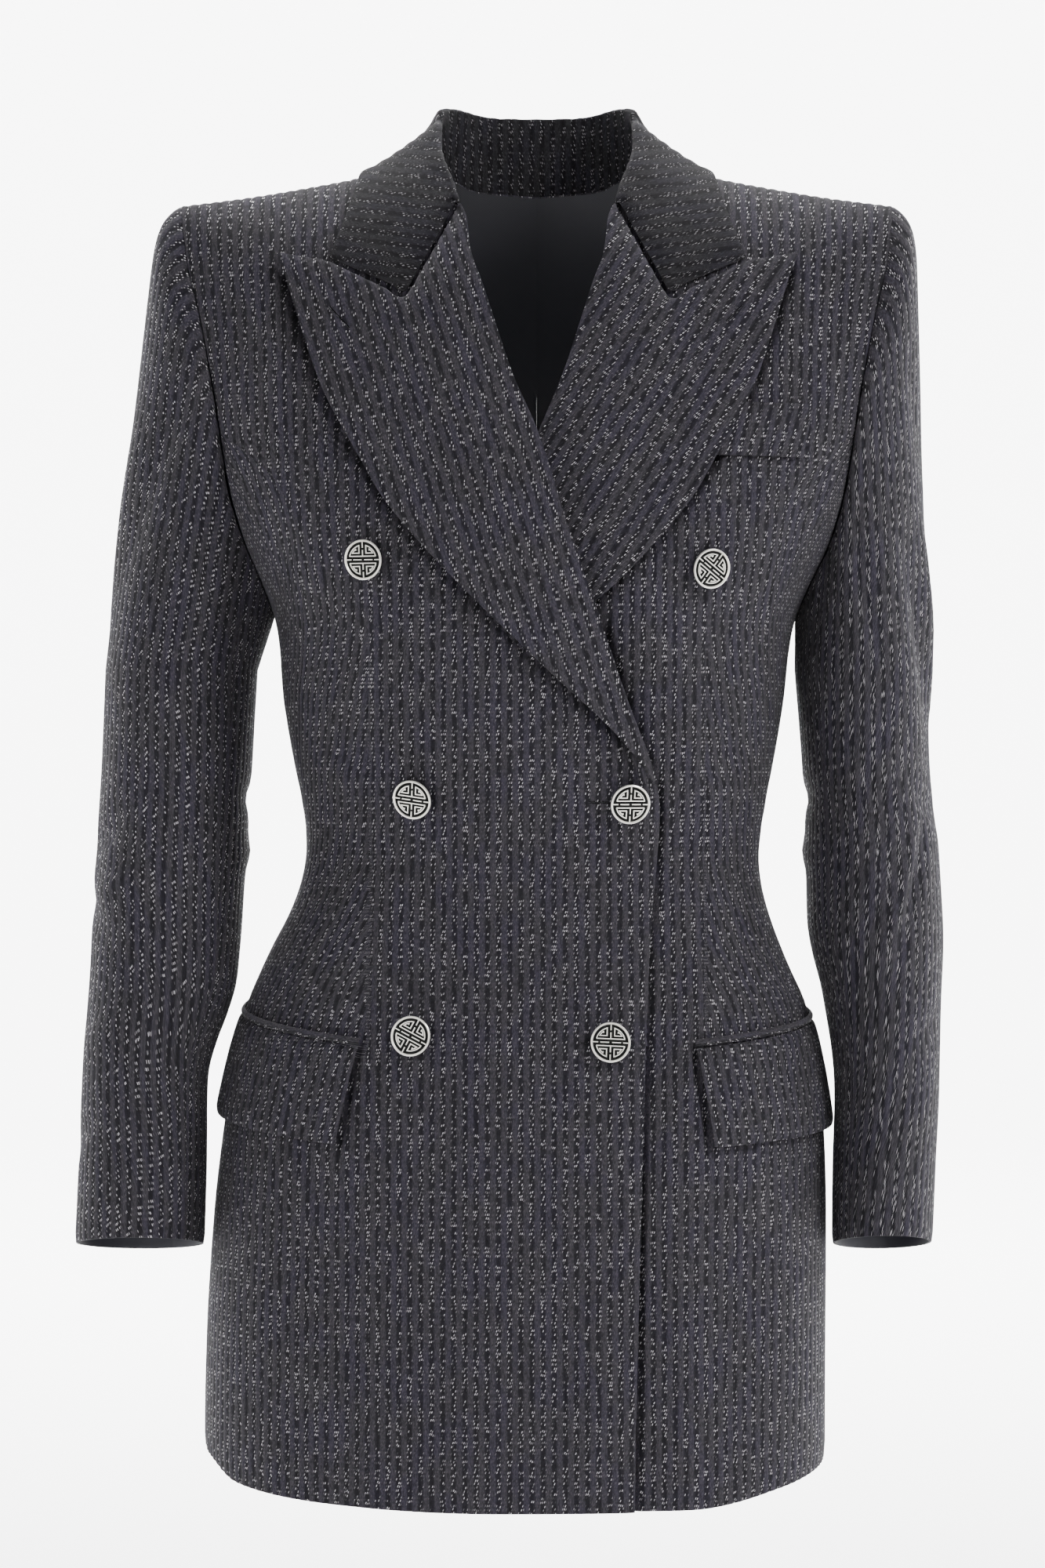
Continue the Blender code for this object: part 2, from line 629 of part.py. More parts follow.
def with_normals(grid):
    """Adds normals worked out from neighbouring points."""
    rows = []
    last_i, last_j = len(grid) - 1, len(grid[0]) - 1
    for i, line in enumerate(grid):
        row = []
        for j, point in enumerate(line):
            along = grid[min(i + 1, last_i)][j] - grid[max(i - 1, 0)][j]
            across = line[min(j + 1, last_j)] - line[max(j - 1, 0)]
            row.append((point, across.cross(along).normalized()))
        rows.append(row)
    return rows


def sleeve_ring(table, turn, z):
    """A point of the sleeve below the armhole; the turn starts at the outside and passes the front."""
    centre, half, depth_centre, half_depth, tilt = smooth_rows(table, z)
    side = -1 if centre < 0 else 1
    angle = math.radians(turn)
    x = centre + side * half * math.cos(angle)
    y = depth_centre - half_depth * math.sin(angle)
    return Vector((x, y, z - tilt * (y - depth_centre)))


def armhole_point(side, turn):
    angle, z = smooth_rows(ARMHOLE, turn % 360)
    return surface(side * angle, z)


def sleeve_point(side, table, turn, v):
    """A point of the sleeve: v from 0 at the armhole to 1 at the upper arm, then on to 2 at the cuff."""
    if v >= 1.0:
        return sleeve_ring(table, turn, mix(table[0][0], table[-1][0], v - 1.0))
    start = armhole_point(side, turn)
    end = sleeve_ring(table, turn, table[0][0])
    turn_angle = math.radians(turn)
    out = Vector((side * math.cos(turn_angle), -math.sin(turn_angle), 0.0))
    share = (0.5 + 0.5 * math.cos(turn_angle)) ** 1.5
    gone = (end - start).length * v
    swell = SLEEVE_HEAD * share * (1.0 - math.exp(-gone / SLEEVE_HEAD_ROUND)) * (1.0 - v)
    return start.lerp(end, v) + out * swell


def sleeve_normal(side, table, turn, v):
    step = 0.004
    low, high = (v, v + step) if v < 1.0 else (v - step, v)
    along = sleeve_point(side, table, turn, high) - sleeve_point(side, table, turn, low)
    across = sleeve_point(side, table, turn + 1.5, v) - sleeve_point(side, table, turn - 1.5, v)
    return (across.cross(along) * side).normalized()


def sleeve_piece(name, side, table, turns):
    trim = math.degrees(0.6 * SEAM_GAP / 0.04)
    turns = [turns[0] + trim] + turns[1:-1] + [turns[-1] - trim]
    rows = []
    for level in SLEEVE_ROWS:
        row = []
        for turn in turns:
            v = level
            if level < 1.0:
                run = (sleeve_point(side, table, turn, 1.0) - armhole_point(side, turn)).length
                clear = SLEEVE_CLEAR * (1.6 - 0.6 * math.cos(math.radians(turn))) / run
                v = clear + (1.0 - clear) * level
            point = sleeve_point(side, table, turn, v)
            row.append((point, sleeve_normal(side, table, turn, v)))
        rows.append(row)
    return wall(name, rows, WALL, cloth())


def flap_line(side, values, angle):
    """Height that runs from the front end's value to the side's."""
    part = (abs(angle) - 31.0) / (90.0 - 31.0)
    return mix(values[0], values[1], part)


def flap(name, key, columns=12, steps=6):
    side, start, end, top_front, top_side, low_front, low_side = FLAPS[key]
    corner = 0.009
    rows = []
    for step in range(steps + 1):
        share = step / steps
        row = []
        for column in range(columns + 1):
            along = column / columns
            angle = mix(start + 2.4 * share, end, along ** 1.15)
            top = flap_line(side, (top_front, top_side), angle)
            low = flap_line(side, (low_front, low_side), angle)
            arc = math.radians(angle - start) * 0.14
            if arc < corner:
                low += corner - math.sqrt(corner ** 2 - (corner - arc) ** 2)
            z = mix(top, low, share)
            lift = mix(FLAP_LIFT[0], FLAP_LIFT[1], share ** 0.8)
            row.append(on_side(side, angle, z, lift))
        rows.append(row)
    return wall(name, rows, TURNED_WALL, cloth())


def on_side(side, angle, z, height):
    """A point at a height above the body, over the front panel and the side panel alike."""
    angle = side * angle
    lift = front_lift(side, angle, z) if abs(angle) < PRINCESS[0][1] else 0.0
    return placed(angle, z, lift + height)


def jet(name, key, columns=12):
    side, start, end, top_front, top_side, _, _ = FLAPS[key]
    rows = []
    for share in (0.0, 0.5, 1.0):
        row = []
        for column in range(columns + 1):
            angle = mix(start - 0.5, end + 0.5, (column / columns) ** 1.15)
            z = flap_line(side, (top_front, top_side), angle) + SEAM_GAP * 2 + JET_HEIGHT * (1.0 - share)
            lift = JET_LIFT + 0.0006 * math.sin(math.pi * share)
            row.append(on_side(side, angle, z, lift))
        rows.append(row)
    return wall(name, rows, TRIM_WALL, cloth())


def breast_welt(name, columns=6, steps=3):
    rows = []
    for step in range(steps + 1):
        share = step / steps
        z = mix(WELT_TOP[2], WELT_BOTTOM[2], share)
        left, right = mix(WELT_TOP[0], WELT_BOTTOM[0], share), mix(WELT_TOP[1], WELT_BOTTOM[1], share)
        row = []
        for column in range(columns + 1):
            x = mix(left, right, column / columns)
            angle = angle_of(x, z)
            row.append(placed(angle, z, front_lift(1, angle, z) + WELT_LIFT))
        rows.append(row)
    return wall(name, rows, TRIM_WALL, cloth())


def button(name, x, z, lean_side, lean_up, seat):
    """A cast button on its shank, leaned a little on the cloth."""
    side = 1 if name == "button_top_left" else -1
    angle = angle_of(x, z)
    point, normal = placed(angle, z, front_lift(side, angle, z) - seat)
    across = Vector((0, 0, 1)).cross(normal).normalized()
    up = normal.cross(across)
    form = bmesh.new()
    rings = []
    for radius, height in BUTTON_SECTION:
        lean = min(max(height - BUTTON_BACK, 0.0) / BUTTON_BACK, 1.0)
        middle = point + normal * height
        if radius == 0.0:
            rings.append([form.verts.new(middle)])
            continue
        ring = []
        for k in range(BUTTON_SIDES):
            turn = 2 * math.pi * k / BUTTON_SIDES
            a, b = radius * math.cos(turn), radius * math.sin(turn)
            tilt = (a * math.tan(math.radians(lean_side)) + b * math.tan(math.radians(lean_up))) * 0.35
            ring.append(form.verts.new(middle + across * a + up * b + normal * tilt * lean))
        rings.append(ring)
    for first, second in zip(rings, rings[1:]):
        for k in range(BUTTON_SIDES):
            after = (k + 1) % BUTTON_SIDES
            if len(first) == 1:
                form.faces.new((first[0], second[k], second[after]))
            elif len(second) == 1:
                form.faces.new((first[k], second[0], first[after]))
            else:
                form.faces.new((first[k], second[k], second[after], first[after]))
    bmesh.ops.recalc_face_normals(form, faces=form.faces)
    mesh = bpy.data.meshes.new(name)
    form.to_mesh(mesh)
    form.free()
    return add_object(name, mesh, silver())


def build():
    for thing in list(bpy.data.objects):
        bpy.data.objects.remove(thing)
    for side, word in ((-1, "right"), (1, "left")):
        front_panel("front_" + word, side)
        side_panel("side_" + word, side)
        back_panel("back_" + word, side)
        lapel("lapel_" + word, side)
        table = SLEEVE_RIGHT if side < 0 else SLEEVE_LEFT
        sleeve_piece("sleeve_top_" + word, side, table, TOP_TURNS)
        sleeve_piece("sleeve_under_" + word, side, table, UNDER_TURNS)
        jet("jet_" + word, word)
        flap("flap_" + word, word)
    collar("collar")
    breast_welt("breast_welt")
    for name, place in BUTTONS.items():
        button(name, *place)


build()
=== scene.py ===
"""A women's double-breasted blazer of dark corded cloth with metallic thread, filled out as worn.

Metres, +Z up. The front faces -Y and the wearer's right is at -X. Panels are thin walls of cloth
laid on the solids' own form, with the cords of the cloth raised along the grain of each piece.
"""

import math

import bpy
import numpy as np
from mathutils import Matrix, Vector


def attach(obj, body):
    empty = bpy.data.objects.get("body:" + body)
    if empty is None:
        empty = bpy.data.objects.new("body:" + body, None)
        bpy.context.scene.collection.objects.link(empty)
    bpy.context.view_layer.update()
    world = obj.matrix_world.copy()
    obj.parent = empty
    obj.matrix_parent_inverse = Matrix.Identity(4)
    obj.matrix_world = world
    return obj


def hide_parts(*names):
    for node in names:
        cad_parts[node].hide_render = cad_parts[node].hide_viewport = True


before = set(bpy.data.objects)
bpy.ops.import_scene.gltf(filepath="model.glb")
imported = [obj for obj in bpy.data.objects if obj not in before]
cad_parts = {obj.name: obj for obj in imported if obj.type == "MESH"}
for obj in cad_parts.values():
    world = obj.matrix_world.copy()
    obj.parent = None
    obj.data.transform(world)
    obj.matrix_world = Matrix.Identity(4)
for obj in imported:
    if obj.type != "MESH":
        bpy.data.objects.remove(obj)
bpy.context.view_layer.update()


# Fronts
# Each front is one panel of woollen suiting from the shoulder to the hem, lined. The side seam runs
# down from the armhole, a dart takes in the waist, and the wearer's right front laps over the left.
# The suiting has raised cords along the grain, mixed from dark and pale hairs. The furrows between
# them are crossed by short slanting floats of metallic thread, none quite alike.
CORD_PITCH = 0.0063      # from cord to cord
CORD_RELIEF = 0.00050    # height of a cord over its furrow
FLOAT_CELL = (0.00105, 0.0021)   # room of one float across and along the furrow
FLOAT_LEAN = 0.34        # sideways run of a float for each metre along
HAIRS = (1100.0, 380.0)  # a metre across and along: coarser than real hairs, so that they show
PATCHES = (70.0, 32.0)   # a metre, so 14 mm wide and 31 mm long
BLUE_CAST = (0.96, 0.93, 1.12)   # of the patches, against the plain wool
TWILL_LINES = 900        # a metre
CLOTH_WALL = 0.0018      # cloth and lining


def linear(colour):
    """An sRGB hex colour as linear values."""
    values = [int(colour[k:k + 2], 16) / 255 for k in (1, 3, 5)]
    return [v / 12.92 if v <= 0.04045 else ((v + 0.055) / 1.055) ** 2.4 for v in values] + [1.0]


def feed(tree, node, inputs):
    """Gives a node its inputs: a value, an output that it is linked to, or a node for its first output."""
    for key, value in inputs.items():
        if isinstance(value, bpy.types.Node):
            value = value.outputs[0]
        if isinstance(value, bpy.types.NodeSocket):
            tree.links.new(value, node.inputs[key])
        else:
            node.inputs[key].default_value = value


def add(tree, kind, inputs, **settings):
    """Adds a node with its settings and its inputs."""
    made = tree.nodes.new(kind)
    for key, value in settings.items():
        setattr(made, key, value)
    feed(tree, made, inputs)
    return made


def blank_material(name):
    """A material with its node tree and its shader."""
    finish = bpy.data.materials.new(name)
    finish.use_nodes = True
    return finish, finish.node_tree, finish.node_tree.nodes["Principled BSDF"]


def corded_suiting(name, cord="#2a282c", furrow="#161518", glint=1.0):
    """Matt, dark and hairy on the cords, with short bright specks of metal down in the furrows."""
    finish, tree, shader = blank_material(name)
    math_node, range_node, pair, vector = ("ShaderNodeMath", "ShaderNodeMapRange", "ShaderNodeCombineXYZ",
                                           "ShaderNodeVectorMath")
    smooth = {"interpolation_type": "SMOOTHSTEP"}
    place = add(tree, "ShaderNodeSeparateXYZ", {0: add(tree, "ShaderNodeUVMap", {}, uv_map="cloth")})
    u, v = place.outputs[0], place.outputs[1]
    pitch = add(tree, math_node, {0: u, 1: CORD_PITCH}, operation="DIVIDE")
    offset = add(tree, math_node, {0: add(tree, math_node, {0: pitch}, operation="FRACT"), 1: 0.5},
                 operation="SUBTRACT")
    off_cord = add(tree, math_node, {0: offset}, operation="ABSOLUTE")
    in_furrow = add(tree, range_node, {0: off_cord, 1: 0.34, 2: 0.12}, **smooth)

    # Mixed wool: pale and dark hairs along the grain over faint larger patches of blue
    noises = []
    for (across, along), detail, roughness in ((HAIRS, 3.0, 0.75), (PATCHES, 2.0, 0.5)):
        spot = add(tree, pair, {0: add(tree, math_node, {0: u, 1: across}, operation="MULTIPLY"),
                                1: add(tree, math_node, {0: v, 1: along}, operation="MULTIPLY")})
        noises.append(add(tree, "ShaderNodeTexNoise", {"Vector": spot, "Scale": 1.0, "Detail": detail,
                                                       "Roughness": roughness}))
    fibre, patches = noises
    wool = add(tree, "ShaderNodeMix", {0: in_furrow, 6: linear(cord), 7: linear(furrow)}, data_type="RGBA")
    light = add(tree, range_node, {0: fibre, 1: 0.30, 2: 0.72, 3: 0.55, 4: 1.75}, **smooth)
    wool = add(tree, vector, {0: wool.outputs[2], 3: light}, operation="SCALE")
    blue = add(tree, vector, {0: wool, 1: BLUE_CAST}, operation="MULTIPLY")
    cast = add(tree, range_node, {0: patches, 1: 0.40, 2: 0.66}, **smooth)
    wool = add(tree, "ShaderNodeMix", {0: cast, 6: wool, 7: blue}, data_type="RGBA")

    # Floats: slanting cells, each with its own strength and place, kept to the furrows
    slanted = add(tree, math_node, {0: v, 1: -FLOAT_LEAN, 2: u}, operation="MULTIPLY_ADD")
    cells = add(tree, pair, {0: add(tree, math_node, {0: slanted, 1: FLOAT_CELL[0]}, operation="DIVIDE"),
                             1: add(tree, math_node, {0: v, 1: FLOAT_CELL[1]}, operation="DIVIDE")})
    cell = add(tree, vector, {0: cells}, operation="FLOOR")
    inside = add(tree, "ShaderNodeSeparateXYZ", {0: add(tree, vector, {0: cells}, operation="FRACTION")})
    draw = add(tree, "ShaderNodeTexWhiteNoise", {"Vector": cell}, noise_dimensions="2D")
    shift = add(tree, "ShaderNodeSeparateColor", {0: draw.outputs[1]})
    sides = []
    for axis, outer, inner in ((0, 0.30, 0.12), (1, 0.34, 0.20)):
        middle = add(tree, math_node, {0: shift.outputs[axis], 1: 0.4, 2: 0.3}, operation="MULTIPLY_ADD")
        gap = add(tree, math_node, {0: inside.outputs[axis], 1: middle}, operation="SUBTRACT")
        gap = add(tree, math_node, {0: gap}, operation="ABSOLUTE")
        sides.append(add(tree, range_node, {0: gap, 1: outer, 2: inner}, **smooth))
    mark = add(tree, math_node, {0: sides[0], 1: sides[1]}, operation="MULTIPLY")
    strong = add(tree, range_node, {0: draw, 1: 0.42, 2: 1.0}, **smooth)
    near = add(tree, math_node, {0: in_furrow, 1: 0.94 * glint, 2: 0.06 * glint}, operation="MULTIPLY_ADD")
    metal = add(tree, math_node, {0: mark, 1: strong}, operation="MULTIPLY")
    metal = add(tree, math_node, {0: metal, 1: near}, operation="MULTIPLY")

    colour = add(tree, "ShaderNodeMix", {0: metal, 6: wool.outputs[2], 7: linear("#b7b4b8")},
                 data_type="RGBA")
    height = add(tree, math_node, {0: fibre, 1: metal}, operation="ADD")
    feed(tree, shader, {
        "Base Color": colour.outputs[2],
        "Metallic": add(tree, math_node, {0: metal, 1: 0.5}, operation="MULTIPLY"),
        "Roughness": add(tree, range_node, {0: metal, 1: 0.0, 2: 1.0, 3: 0.88, 4: 0.40}, **smooth),
        "Normal": add(tree, "ShaderNodeBump", {"Strength": 0.5, "Distance": 0.0003, "Height": height}),
        "Sheen Weight": 0.04, "Sheen Roughness": 0.5, "Specular IOR Level": 0.10})
    return finish


def plain_lining():
    """Dark viscose lining in a fine twill, smoother than the wool, which shows inside the openings."""
    finish, tree, shader = blank_material("twill_lining")
    place = add(tree, "ShaderNodeUVMap", {}, uv_map="cloth")
    turned = add(tree, "ShaderNodeMapping", {"Vector": place, "Rotation": (0, 0, math.radians(45)),
                                             "Scale": (TWILL_LINES, TWILL_LINES, 1)})
    twill = add(tree, "ShaderNodeTexWave", {"Vector": turned, "Scale": 0.5, "Distortion": 0.6})
    shade = add(tree, "ShaderNodeMix", {0: twill.outputs[1], 6: linear("#26262b"), 7: linear("#3a3a41")},
                data_type="RGBA")
    feed(tree, shader, {"Base Color": shade.outputs[2], "Roughness": 0.5})
    return finish


suiting = corded_suiting("corded_wool_suiting")
lining = plain_lining()

SEAM_GAP = 0.00004       # between two panels that are sewn together
SHOULDER_Y = 0.005       # of the shoulder line, from front to back
SHOULDER_DROP = 0.14     # over which the cloth turns down from the shoulder line
SHOULDER_TOP = 0.000002  # depth of the topmost row
SHOULDER_TIP = 62.4      # angle round the body of the armhole's top
BREAK_Z = -0.375         # where the lapels begin to turn back
LEVEL_TOP = 0.300        # depth below which all rows run level
ROUNDNESS = 2.3          # of the body's sections: 2 is an ellipse
PRINCESS_TOP = 0.165     # depth of the front side seam's top
HEM_DEPTH = 0.760
OVER_LIFT = 0.0020       # how far the right front lies out where it laps
UNDER_SINK = 0.0036      # how far the left front lies in under it
DART_X = 0.0965          # distance of a waist dart from the middle
DART_TOP = -0.278
DART_END = -0.516
SEAM_ROLL = 0.0006       # how far an edge rolls in at a seam
SEAM_ROLL_RUN = 0.0012
DART_HALF = 0.0014       # half width of a dart's stitched trough
DART_SINK = 0.0009
LAP_ROLL = (0.0012, 0.0028)      # drop of the lapping edge, and its run
LAP_GROOVE = (0.0018, 0.0008)    # of the front below: half width, distance past the edge
LAP_SINK = 0.0032
LAP_DIP = (0.0034, -0.293, 0.020)        # further sink where the lapels cross: depth, height, half length
# Valley along a lapel's outer edge: half width, depth, how far it lies past the edge
LAPEL_VALLEY = {"right": (0.0040, 0.0056, 0.0002), "left": (0.0030, 0.0066, 0.0000)}
FLAP_VALLEY = (0.0030, 0.0038)   # along a hip flap's front end: half width, depth

# Depths of the rows below the shoulder line
TOP_DEPTHS = [SHOULDER_TOP, 0.0012, 0.0035, 0.007, 0.012, 0.0185, 0.0265, 0.036, 0.048, 0.062, 0.078, 0.096,
              0.116, 0.138, 0.155]
LOW_DEPTHS = [0.316, 0.332, 0.348, 0.364, 0.380, 0.396, 0.412, 0.428, 0.444, 0.460, 0.476, 0.494, 0.515,
              0.540, 0.570, 0.605, 0.640, 0.675, 0.710]
WEDGE_ROWS = 10          # from the top of a side seam to the first level row

# Level sections of the body: height, sideways centre, half width, front depth, back depth
BODY = [
    (-0.785, -0.0130, 0.1815, 0.1270, 0.1270), (-0.755, -0.0130, 0.1815, 0.1270, 0.1270),
    (-0.700, -0.0125, 0.1812, 0.1265, 0.1265), (-0.620, -0.0100, 0.1792, 0.1245, 0.1240),
    (-0.569, -0.0078, 0.1757, 0.1215, 0.1190), (-0.530, -0.0068, 0.1708, 0.1165, 0.1120),
    (-0.496, -0.0062, 0.1635, 0.1115, 0.1050), (-0.477, -0.0065, 0.1555, 0.1075, 0.0985),
    (-0.459, -0.0060, 0.1475, 0.1045, 0.0935), (-0.441, -0.0045, 0.1397, 0.1020, 0.0885),
    (-0.422, -0.0034, 0.1342, 0.1005, 0.0845), (-0.404, -0.0025, 0.1322, 0.1005, 0.0815),
    (-0.385, -0.0018, 0.1345, 0.1025, 0.0810), (-0.349, -0.0020, 0.1412, 0.1120, 0.0850),
    (-0.312, -0.0020, 0.1470, 0.1205, 0.0905), (-0.290, -0.0015, 0.1488, 0.1245, 0.0945),
    (-0.268, -0.0010, 0.1530, 0.1270, 0.0980), (-0.250, -0.0005, 0.1625, 0.1277, 0.1005),
    (-0.230, 0.0000, 0.1755, 0.1270, 0.1025), (-0.205, 0.0000, 0.1890, 0.1240, 0.1045),
    (-0.180, 0.0000, 0.1980, 0.1185, 0.1060), (-0.150, 0.0000, 0.2060, 0.1100, 0.1065),
    (-0.110, 0.0000, 0.2150, 0.0985, 0.1045), (-0.060, 0.0000, 0.2255, 0.0860, 0.0980),
    (-0.020, 0.0000, 0.2320, 0.0780, 0.0930), (0.040, 0.0000, 0.2380, 0.0740, 0.0900),
]
# Height of the shoulder line at a distance from the middle
SHOULDER = [
    (0.000, 0.0110), (0.060, 0.0000), (0.102, -0.0105), (0.1385, -0.0174),
    (0.170, -0.0225), (0.208, -0.0272), (0.240, -0.0310),
]
# Armhole: turn round the sleeve from the shoulder's tip, angle round the body, height
ARMHOLE = [
    (0, 62.4, -0.0272), (5, 62.6, -0.0292), (10, 62.8, -0.0352), (15, 63.0, -0.045), (30, 63.0, -0.066),
    (50, 61.9, -0.094), (70, 61.6, -0.122), (90, 62.2, -0.152), (105, 64.3, -0.180), (120, 67.1, -0.205),
    (135, 72.0, -0.2285), (150, 77.3, -0.248), (165, 84.0, -0.2615), (180, 91.0, -0.268),
    (195, 97.0, -0.2650),
    (210, 102.5, -0.2550), (225, 107.5, -0.238), (240, 112.0, -0.215), (255, 115.0, -0.190),
    (270, 117.0, -0.162), (290, 118.0, -0.128), (310, 118.2, -0.095), (330, 117.8, -0.063),
    (345, 117.4, -0.043), (350, 117.4, -0.0342), (355, 117.5, -0.0289), (360, 117.6, -0.0272),
]
# Front side seam: height, angle round the body
PRINCESS = [
    (-0.790, 84.0), (-0.560, 84.0), (-0.440, 84.5), (-0.400, 82.5), (-0.370, 78.0), (-0.340, 71.0),
    (-0.302, 63.8), (-0.265, 58.4), (-0.2365, 50.3), (-0.2135, 46.0), (-0.2015, 46.7), (-0.186, 50.2),
    (-0.177, 55.0), (-0.165, 63.2),
]
# Front edge from the hem up the overlap and the roll line to the neck: height, distance past the middle
FRONT_EDGE = [
    (-0.790, 0.0545), (-0.700, 0.0562), (-0.600, 0.0590), (-0.500, 0.0620), (-0.440, 0.0655),
    (-0.405, 0.0685), (-0.385, 0.0700), (-0.372, 0.0690), (-0.352, 0.0625), (-0.322, 0.0510),
    (-0.272, 0.0340), (-0.220, 0.0165), (-0.170, 0.0005), (-0.136, -0.0140), (-0.099, -0.0260),
    (-0.080, -0.0320), (-0.061, -0.0385), (-0.041, -0.0410), (-0.031, -0.0450), (-0.020, -0.0580),
    (-0.010, -0.0640), (-0.005, -0.0658), (-0.0015, -0.0665),
]
# Outer edge of a lapel from its peak to the break: share of the way, distance past the middle, height
LAPEL_EDGE = [
    (0.00, -0.1487, -0.0635), (0.06, -0.1435, -0.0770), (0.15, -0.1350, -0.1030), (0.27, -0.1215, -0.1410),
    (0.40, -0.0990, -0.1830), (0.47, -0.0871, -0.2035), (0.58, -0.0573, -0.2390), (0.67, -0.0279, -0.2690),
    (0.78, 0.0040, -0.2993), (0.91, 0.0505, -0.3440), (0.97, 0.0650, -0.3650), (1.00, 0.0690, -0.3755),
]
# Hem height at an angle round the body, for the wearer's right (negative) and left
HEM = [
    (-180, -0.762), (-120, -0.758), (-90, -0.7525), (-75, -0.757), (-60, -0.768), (-30, -0.7755),
    (0, -0.7785), (30, -0.7785), (55, -0.7700), (75, -0.7630), (90, -0.7590), (120, -0.760), (180, -0.762),
]
# Soft troughs and ridges of the fronts: from x, z to x, z, half width, height (a trough's is negative)
FRONT_CREASES = {
    "right": [
        (-0.128, -0.335, -0.070, -0.372, 0.0070, -0.0012), (-0.124, -0.352, -0.086, -0.378, 0.0055, 0.0008),
        (0.030, -0.392, -0.030, -0.418, 0.0080, -0.0011), (0.035, -0.402, -0.010, -0.436, 0.0060, 0.0008),
        (-0.118, -0.420, -0.064, -0.402, 0.0065, -0.0010),
        (-0.158, -0.130, -0.176, -0.068, 0.0110, -0.0016),
        (-0.030, -0.560, -0.036, -0.770, 0.0160, 0.0014), (-0.098, -0.610, -0.104, -0.765, 0.0180, -0.0018),
        (0.020, -0.600, 0.018, -0.770, 0.0140, -0.0010), (-0.170, -0.200, -0.120, -0.236, 0.0100, 0.0012),
    ],
    "left": [
        (0.126, -0.338, 0.088, -0.366, 0.0065, -0.0011), (0.122, -0.360, 0.078, -0.392, 0.0060, 0.0009),
        (0.120, -0.418, 0.074, -0.398, 0.0060, -0.0010), (0.160, -0.126, 0.178, -0.070, 0.0110, -0.0016),
        (0.098, -0.600, 0.106, -0.762, 0.0170, -0.0016), (0.140, -0.590, 0.148, -0.750, 0.0150, 0.0013),
        (0.070, -0.170, 0.110, -0.215, 0.0120, 0.0010),
    ],
}


def smooth_rows(rows, key):
    """Values of a table at a key, on a cubic that keeps between its rows."""
    ordered = sorted(rows)
    key = min(max(key, ordered[0][0]), ordered[-1][0])
    index = 0
    while index < len(ordered) - 2 and key > ordered[index + 1][0]:
        index += 1
    low, high = ordered[index], ordered[index + 1]
    before = ordered[max(index - 1, 0)]
    after = ordered[min(index + 2, len(ordered) - 1)]
    span = high[0] - low[0]
    part = (key - low[0]) / span
    values = []
    for column in range(1, len(low)):
        slope = (high[column] - low[column]) / span
        values.append(hermite(low[column], high[column], span, part,
                              end_slope(before, low, slope, column), end_slope(high, after, slope, column)))
    return values


def end_slope(first, second, slope, column):
    """Harmonic mean of two slopes, or none where they differ in sign."""
    if second[0] == first[0]:
        return slope
    other = (second[column] - first[column]) / (second[0] - first[0])
    if other * slope <= 0.0:
        return 0.0
    return 2.0 * other * slope / (other + slope)


def hermite(low, high, span, part, slope_low, slope_high):
    """A cubic between two values with given slopes there."""
    square, cube = part * part, part ** 3
    return ((2 * cube - 3 * square + 1) * low + (cube - 2 * square + part) * span * slope_low
            + (3 * square - 2 * cube) * high + (cube - square) * span * slope_high)


def mix(low, high, part):
    """A value part of the way between two."""
    return low + (high - low) * part


def fade(value, start, end):
    """1 at start, 0 at end, smooth between."""
    part = np.clip((value - start) / (end - start), 0.0, 1.0)
    return 1.0 - part * part * (3.0 - 2.0 * part)


def shoulder_z(x):
    """Height of the shoulder line at a distance from the middle."""
    return smooth_rows(SHOULDER, abs(x))[0]


def row_z(x, depth):
    """Height of a row: it follows the shoulder line at the top and is level further down."""
    return shoulder_z(x) * fade(depth, 0.0, 0.15) - depth


def turn_over(x, z):
    """How far the cloth has turned down from the shoulder line, 0 to 1."""
    depth = min(max(shoulder_z(x) - z, 0.0), SHOULDER_DROP)
    return math.sqrt(1.0 - (1.0 - depth / SHOULDER_DROP) ** 2)


def angle_of(x, z):
    """Angle round the body of a distance from the middle, for the front half."""
    centre, half = smooth_rows(BODY, z)[:2]
    ratio = min(abs(x - centre) / half, 1.0)
    return math.copysign(math.degrees(math.asin(ratio ** (ROUNDNESS / 2.0))), x - centre)


def surface(angle, z):
    """Outer face of the body at an angle from the front, positive to the wearer's left."""
    centre, half, front, back = smooth_rows(BODY, z)
    turn = math.radians(angle)
    across, along = math.sin(turn), math.cos(turn)
    x = centre + math.copysign(half * abs(across) ** (2.0 / ROUNDNESS), across)
    reach = (front if along > 0 else back) * abs(along) ** (2.0 / ROUNDNESS)
    y = -math.copysign(reach, along)
    return Vector((x, mix(SHOULDER_Y, y, turn_over(x, z)), z))


def outward(angle, z, step=0.6, rise=0.0006):
    """Unit normal of the body's outer face."""
    x = surface(angle, z).x
    top = min(z + rise, shoulder_z(x))
    along = surface(angle + step, z) - surface(angle - step, z)
    up = surface(angle, top) - surface(angle, top - 2 * rise)
    return along.cross(up).normalized()


def placed(angle, z, lift):
    """A point lifted off the body's face, with the face's normal."""
    normal = outward(angle, z)
    return surface(angle, z) + normal * lift, normal


def overlap_lift(side, x, z):
    """How far a front lies out of the body's face where the two fronts lap."""
    if side < 0:
        return OVER_LIFT * (1.0 - fade(x, -0.125, -0.075)) * fade(z, -0.13, -0.04)
    edge = smooth_rows(FRONT_EDGE, z)[0]
    return -UNDER_SINK * fade(x, edge + 0.004, edge + 0.034) * fade(z, -0.17, -0.12)


def front_lift(side, angle, z):
    """The same for an angle round the body."""
    return overlap_lift(side, surface(angle, z).x, z)


def settle_x(depth, table, side):
    """Where a row meets an edge given by its height."""
    x = side * 0.06
    for _ in range(12):
        x = -side * smooth_rows(table, row_z(x, depth))[0]
    return x


